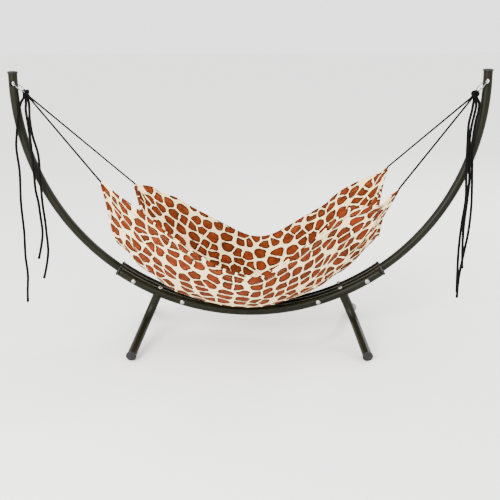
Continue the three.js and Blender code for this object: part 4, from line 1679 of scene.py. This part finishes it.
    def cloth_point(self, along: float, across: float) -> Vector:
        """Returns a place on the cloth, from 0 to 1 along it and -1 to 1 across it, in metres.

        Args:
            along: Place along the cloth, from 0 to 1.
            across: Place across it, from -1 to 1.

        Returns:
            The place.
        """
        left, right = self.hem_point(Side.LEFT, across), self.hem_point(Side.RIGHT, across)
        middle = math.sin(math.pi * along)
        spread = 1 + (self.mid_half_width_mm / self.half_width_mm - 1) * middle
        face = Face.FRONT if across < 0 else Face.REAR
        end_curve = self.hem_curves[Side.LEFT if along < 0.5 else Side.RIGHT, face]
        curve = end_curve + (self.section_curve - end_curve) * middle
        rim = self.edge_height(face, along)
        bed = self.bed_height(along)
        x = left.x + (right.x - left.x) * along
        y = (left.y + (right.y - left.y) * along) * spread
        z = bed + (rim - bed) * abs(across) ** curve
        return Vector((x, y, z + self.fold(x, y, along))) * MM

    def sheet_mesh(self) -> tuple[bpy.types.Object, list[list[int]]]:
        """Shapes a grid into the hung cloth and gives it the flat cloth's coordinates.

        Returns:
            The cloth, and its vertex numbers by column and row.
        """
        bm = bmesh.new()
        bmesh.ops.create_grid(bm, x_segments=self.columns, y_segments=self.rows, size=1.0)
        bm.verts.ensure_lookup_table()
        columns = sorted({round(v.co.x, 5) for v in bm.verts})
        rows = sorted({round(v.co.y, 5) for v in bm.verts})
        column_of = {value: i for i, value in enumerate(columns)}
        row_of = {value: i for i, value in enumerate(rows)}
        table = [[0] * len(rows) for _ in columns]
        for vert in bm.verts:
            i, j = column_of[round(vert.co.x, 5)], row_of[round(vert.co.y, 5)]
            table[i][j] = vert.index
            across = math.copysign(abs(vert.co.y) ** self.row_crowding, vert.co.y)
            vert.co = self.cloth_point((vert.co.x + 1) / 2, across)
        flat = self.flat_places(bm, table)
        uv = bm.loops.layers.uv.new("UVMap")
        for face in bm.faces:
            for loop in face.loops:
                loop[uv].uv = flat[loop.vert.index]
        if sum(face.normal.z for face in bm.faces) < 0:
            bmesh.ops.reverse_faces(bm, faces=bm.faces)
        return finish_mesh(bm, "sling_cloth", CLOTH_SHARP_DEGREES), table

    def flat_places(self, bm: bmesh.types.BMesh, table: list[list[int]]) -> dict[int, tuple[float, float]]:
        """Works out where each vertex lies on the flat cloth, in metres from its middle.

        Args:
            bm: The hung cloth.
            table: Its vertex numbers by column and row.

        Returns:
            The flat place of each vertex.
        """
        count_i, count_j = len(table), len(table[0])
        mid_i, mid_j = count_i // 2, count_j // 2
        u, v = {}, {}
        for j in range(count_j):
            chain = [bm.verts[table[i][j]].co for i in range(count_i)]
            walked = [0.0]
            for a, b in zip(chain, chain[1:]):
                walked.append(walked[-1] + (b - a).length)
            for i in range(count_i):
                u[table[i][j]] = walked[i] - walked[mid_i]
        for i in range(count_i):
            chain = [bm.verts[table[i][j]].co for j in range(count_j)]
            walked = [0.0]
            for a, b in zip(chain, chain[1:]):
                walked.append(walked[-1] + (b - a).length)
            for j in range(count_j):
                v[table[i][j]] = walked[j] - walked[mid_j]
        return {index: (u[index], v[index]) for index in u}

    def settle(self, cloth: bpy.types.Object, table: list[list[int]]) -> None:
        """Lets the cloth settle under its own weight between its hems, within a limit.

        Args:
            cloth: The cloth.
            table: Its vertex numbers by column and row.
        """
        before = [v.co.copy() for v in cloth.data.vertices]
        held = cloth.vertex_groups.new(name="hems")
        held.add(table[0] + table[-1], 1.0, "REPLACE")
        cloth.modifiers.new("settle", "CLOTH")
        settings = cloth.modifiers["settle"].settings
        settings.vertex_group_mass = "hems"
        settings.use_pressure = True
        for name, value in self.canvas.items():
            setattr(settings, name, value)
        scene = bpy.context.scene
        for number in range(1, self.settle_frames + 1):
            scene.frame_set(number)
        apply_modifiers(cloth)
        for vert, start in zip(cloth.data.vertices, before):
            move = vert.co - start
            room = min(1.0, max(0.0, (abs(start.y) - self.tubes_half_width) / self.tubes_half_width))
            if move.z < 0:
                move.z *= room
            if move.length > 1e-7:
                move *= self.settle_limit * math.tanh(move.length / self.settle_limit) / move.length
            vert.co = start + move
        scene.frame_set(1)

    def carry_print(self, roll: bpy.types.Object, cloth: bpy.types.Object, chain: list[int], inward: Vector) -> None:
        """Carries the cloth's print on to a roll that follows one of its edges.

        Args:
            roll: The roll, whose UV map gives its length and girth in metres.
            cloth: The settled cloth.
            chain: The cloth's vertices that the roll follows, in order.
            inward: Direction on the flat cloth from that edge to its middle.
        """
        layer = cloth.data.uv_layers["UVMap"].data
        flat = {loop.vertex_index: layer[loop.index].uv.copy() for loop in cloth.data.loops}
        places = [cloth.data.vertices[k].co for k in chain]
        walked = [0.0]
        for a, b in zip(places, places[1:]):
            walked.append(walked[-1] + (b - a).length)
        items = roll.data.uv_layers["UVMap"].data
        girth = max(item.uv[1] for item in items)
        for item in items:
            along, turn = item.uv
            k = min(max(bisect.bisect_right(walked, along), 1), len(chain) - 1)
            share = (along - walked[k - 1]) / (walked[k] - walked[k - 1])
            item.uv = flat[chain[k - 1]].lerp(flat[chain[k]], share) + inward * min(turn, girth - turn)

    def hem(self, side: Side, cloth: bpy.types.Object, table: list[list[int]]) -> bpy.types.Object:
        """Rolls the hem round the cord along a short edge, with the print carried on.

        Args:
            side: Which short edge.
            cloth: The settled cloth.
            table: Its vertex numbers by column and row.

        Returns:
            The hem.
        """
        column = table[0] if side is Side.LEFT else table[-1]
        verts = cloth.data.vertices
        corners = self.corners()
        chain = [
            k for k in column if all((verts[k].co - corners[side, f]).length > self.hem_starts[side, f] for f in Face)
        ]
        points = evenly([verts[k].co.copy() for k in chain], self.hem_spacing)
        radii = []
        for i in range(len(points)):
            gather = noise.noise(Vector((i * self.hem_gather_rate, side.value * 5.0, 0.0)))
            radii.append(self.hem_radius * (1 - self.hem_gather + self.hem_gather * gather))
        name = f"{side.word}_hem_fold"
        roll = corded(name, points, radii, self.hem_sides)
        self.carry_print(roll, cloth, chain, Vector((-side.value, 0)))
        return fit(roll, self.finishes.cloth, "sling", "hem_cloth", f"{side.word}_hem")

    def hem_cord(self, side: Side, cloth: bpy.types.Object, table: list[list[int]]) -> None:
        """Builds the cord that runs through a hem and out of both corners.

        Args:
            side: Which short edge.
            cloth: The settled cloth.
            table: Its vertex numbers by column and row.
        """
        corners = self.corners()
        front, rear = corners[side, Face.FRONT], corners[side, Face.REAR]
        column = table[0] if side is Side.LEFT else table[-1]
        middle = [cloth.data.vertices[k].co.copy() for k in column[::3]]
        kept = [p for p in middle if min((p - front).length, (p - rear).length) > self.cord_clear]
        for p in kept:
            for face in Face:
                if (p - corners[side, face]).length < self.hem_starts[side, face]:
                    p.y += face.value * self.bare_lift
        turn = self.hanging.turn
        toward_front = front + (self.hanging.knot_exit(side, front) - front).normalized() * turn
        toward_rear = rear + (self.hanging.knot_exit(side, rear) - rear).normalized() * turn
        near_front = front + (kept[0] - front).normalized() * turn * self.corner_turn
        near_rear = rear + (kept[-1] - rear).normalized() * turn * self.corner_turn
        route = [toward_front, front, near_front, *kept, near_rear, rear, toward_rear]
        points = smooth_route(route, self.hanging.ring_spacing)
        radius = self.hanging.line_diameter / 2
        cord = corded(f"{side.word}_hem_cord_run", points, [radius] * len(points), self.cord_sides)
        fit(cord, self.finishes.cord, "sling", "cord", f"{side.word}_hem_cord")

    def edge_band(self, face: Face, cloth: bpy.types.Object, table: list[list[int]]) -> bpy.types.Object:
        """Turns the long edge over into a narrow stitched band on the cloth's outer side.

        Args:
            face: Which long edge.
            cloth: The settled cloth.
            table: Its vertex numbers by column and row.

        Returns:
            The band.
        """
        last = len(table[0])
        picked = range(self.band_rows) if face is Face.FRONT else range(last - self.band_rows, last)
        wanted = {table[i][j] for i in range(2, len(table) - 2) for j in picked}
        bm = bmesh.new()
        bm.from_mesh(cloth.data)
        bm.verts.ensure_lookup_table()
        spare = [v for v in bm.verts if v.index not in wanted]
        bmesh.ops.delete(bm, geom=spare, context="VERTS")
        bm.normal_update()
        for vert in bm.verts:
            vert.co -= vert.normal * self.thickness * self.band_drop
        band = finish_mesh(bm, f"{face.word}_edge_band", CLOTH_SHARP_DEGREES)
        solidify = band.modifiers.new("fold", "SOLIDIFY")
        solidify.thickness = self.band_thickness
        solidify.offset = 0
        return fit(band, self.finishes.cloth, "sling", "printed_cloth")

    def edge_roll(self, face: Face, cloth: bpy.types.Object, table: list[list[int]]) -> bpy.types.Object:
        """Rolls the very edge of a long side, where the cloth is turned over twice.

        Args:
            face: Which long edge.
            cloth: The settled cloth.
            table: Its vertex numbers by column and row.

        Returns:
            The rolled edge.
        """
        chain = [column[0 if face is Face.FRONT else -1] for column in table[1:-1]]
        points = evenly([cloth.data.vertices[k].co.copy() for k in chain], self.roll_spacing)
        radii = [
            self.roll_radius
            * (self.roll_full + self.roll_uneven * noise.noise(Vector((i * self.roll_rate, face.value * 3.0, 0.0))))
            for i in range(len(points))
        ]
        roll = corded(f"{face.word}_edge_roll", points, radii, self.roll_sides)
        self.carry_print(roll, cloth, chain, Vector((0, -face.value)))
        return fit(roll, self.finishes.cloth, "sling", "printed_cloth")

    def stitches(self, face: Face, cloth: bpy.types.Object, table: list[list[int]]) -> bpy.types.Object:
        """Sews the seam that holds a long edge's band, one short thread after another.

        Args:
            face: Which long edge.
            cloth: The settled cloth.
            table: Its vertex numbers by column and row.

        Returns:
            The thread.
        """
        inner, outer = (3, 2) if face is Face.FRONT else (-4, -3)
        verts = cloth.data.vertices
        seam = [verts[column[inner]].co.lerp(verts[column[outer]].co, self.seam_inset) for column in table[2:-2]]
        normals = [verts[column[inner]].normal.copy() for column in table[2:-2]]
        places = evenly(seam, self.stitch_pitch)
        bm = bmesh.new()
        for here, after in zip(places, places[1:]):
            along = after - here
            nearest = min(range(len(seam)), key=lambda k: (seam[k] - here).length_squared)
            for side in (-1, 1):
                lift = normals[nearest] * side * self.thickness * (self.lift_inside if side > 0 else self.lift_outside)
                place = Matrix.Translation(here + along * 0.5 + lift)
                turn = along.to_track_quat("Z", "Y").to_matrix().to_4x4()
                size = Matrix.Diagonal((1, 1, along.length * self.stitch_share / self.stitch_radius, 1))
                bmesh.ops.create_icosphere(bm, subdivisions=1, radius=self.stitch_radius, matrix=place @ turn @ size)
        thread = finish_mesh(bm, f"{face.word}_seam_thread", CLOTH_SHARP_DEGREES)
        return fit(thread, self.finishes.thread, "sling", "printed_cloth")

    def build(self) -> None:
        """Builds the cloth, its hems and bands, and the cord in the hems."""
        cloth, table = self.sheet_mesh()
        self.settle(cloth, table)
        hems = [self.hem(side, cloth, table) for side in Side]
        for side in Side:
            self.hem_cord(side, cloth, table)
        bands = [
            make(face, cloth, table) for face in Face for make in (self.edge_band, self.edge_roll, self.stitches)
        ]
        solidify = cloth.modifiers.new("cloth", "SOLIDIFY")
        solidify.thickness = self.thickness
        solidify.offset = 0
        fit(cloth, self.finishes.cloth, "sling", "printed_cloth", "sling_panel")


def main() -> None:
    """Builds the camera and cords first, then the rest of the hammock and its studio."""
    logging.basicConfig(level=logging.INFO, format="%(message)s")
    studio = Studio()
    studio.camera()
    finishes = Finishes()
    hanging = Hanging(finishes)
    sling = Sling(finishes, hanging)
    hanging.build_cords(sling.corners())
    hanging.build_fittings(sling.corners())
    Stand(finishes).build()
    sling.build()
    studio.build()
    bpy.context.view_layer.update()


if __name__ == "__main__":
    main()
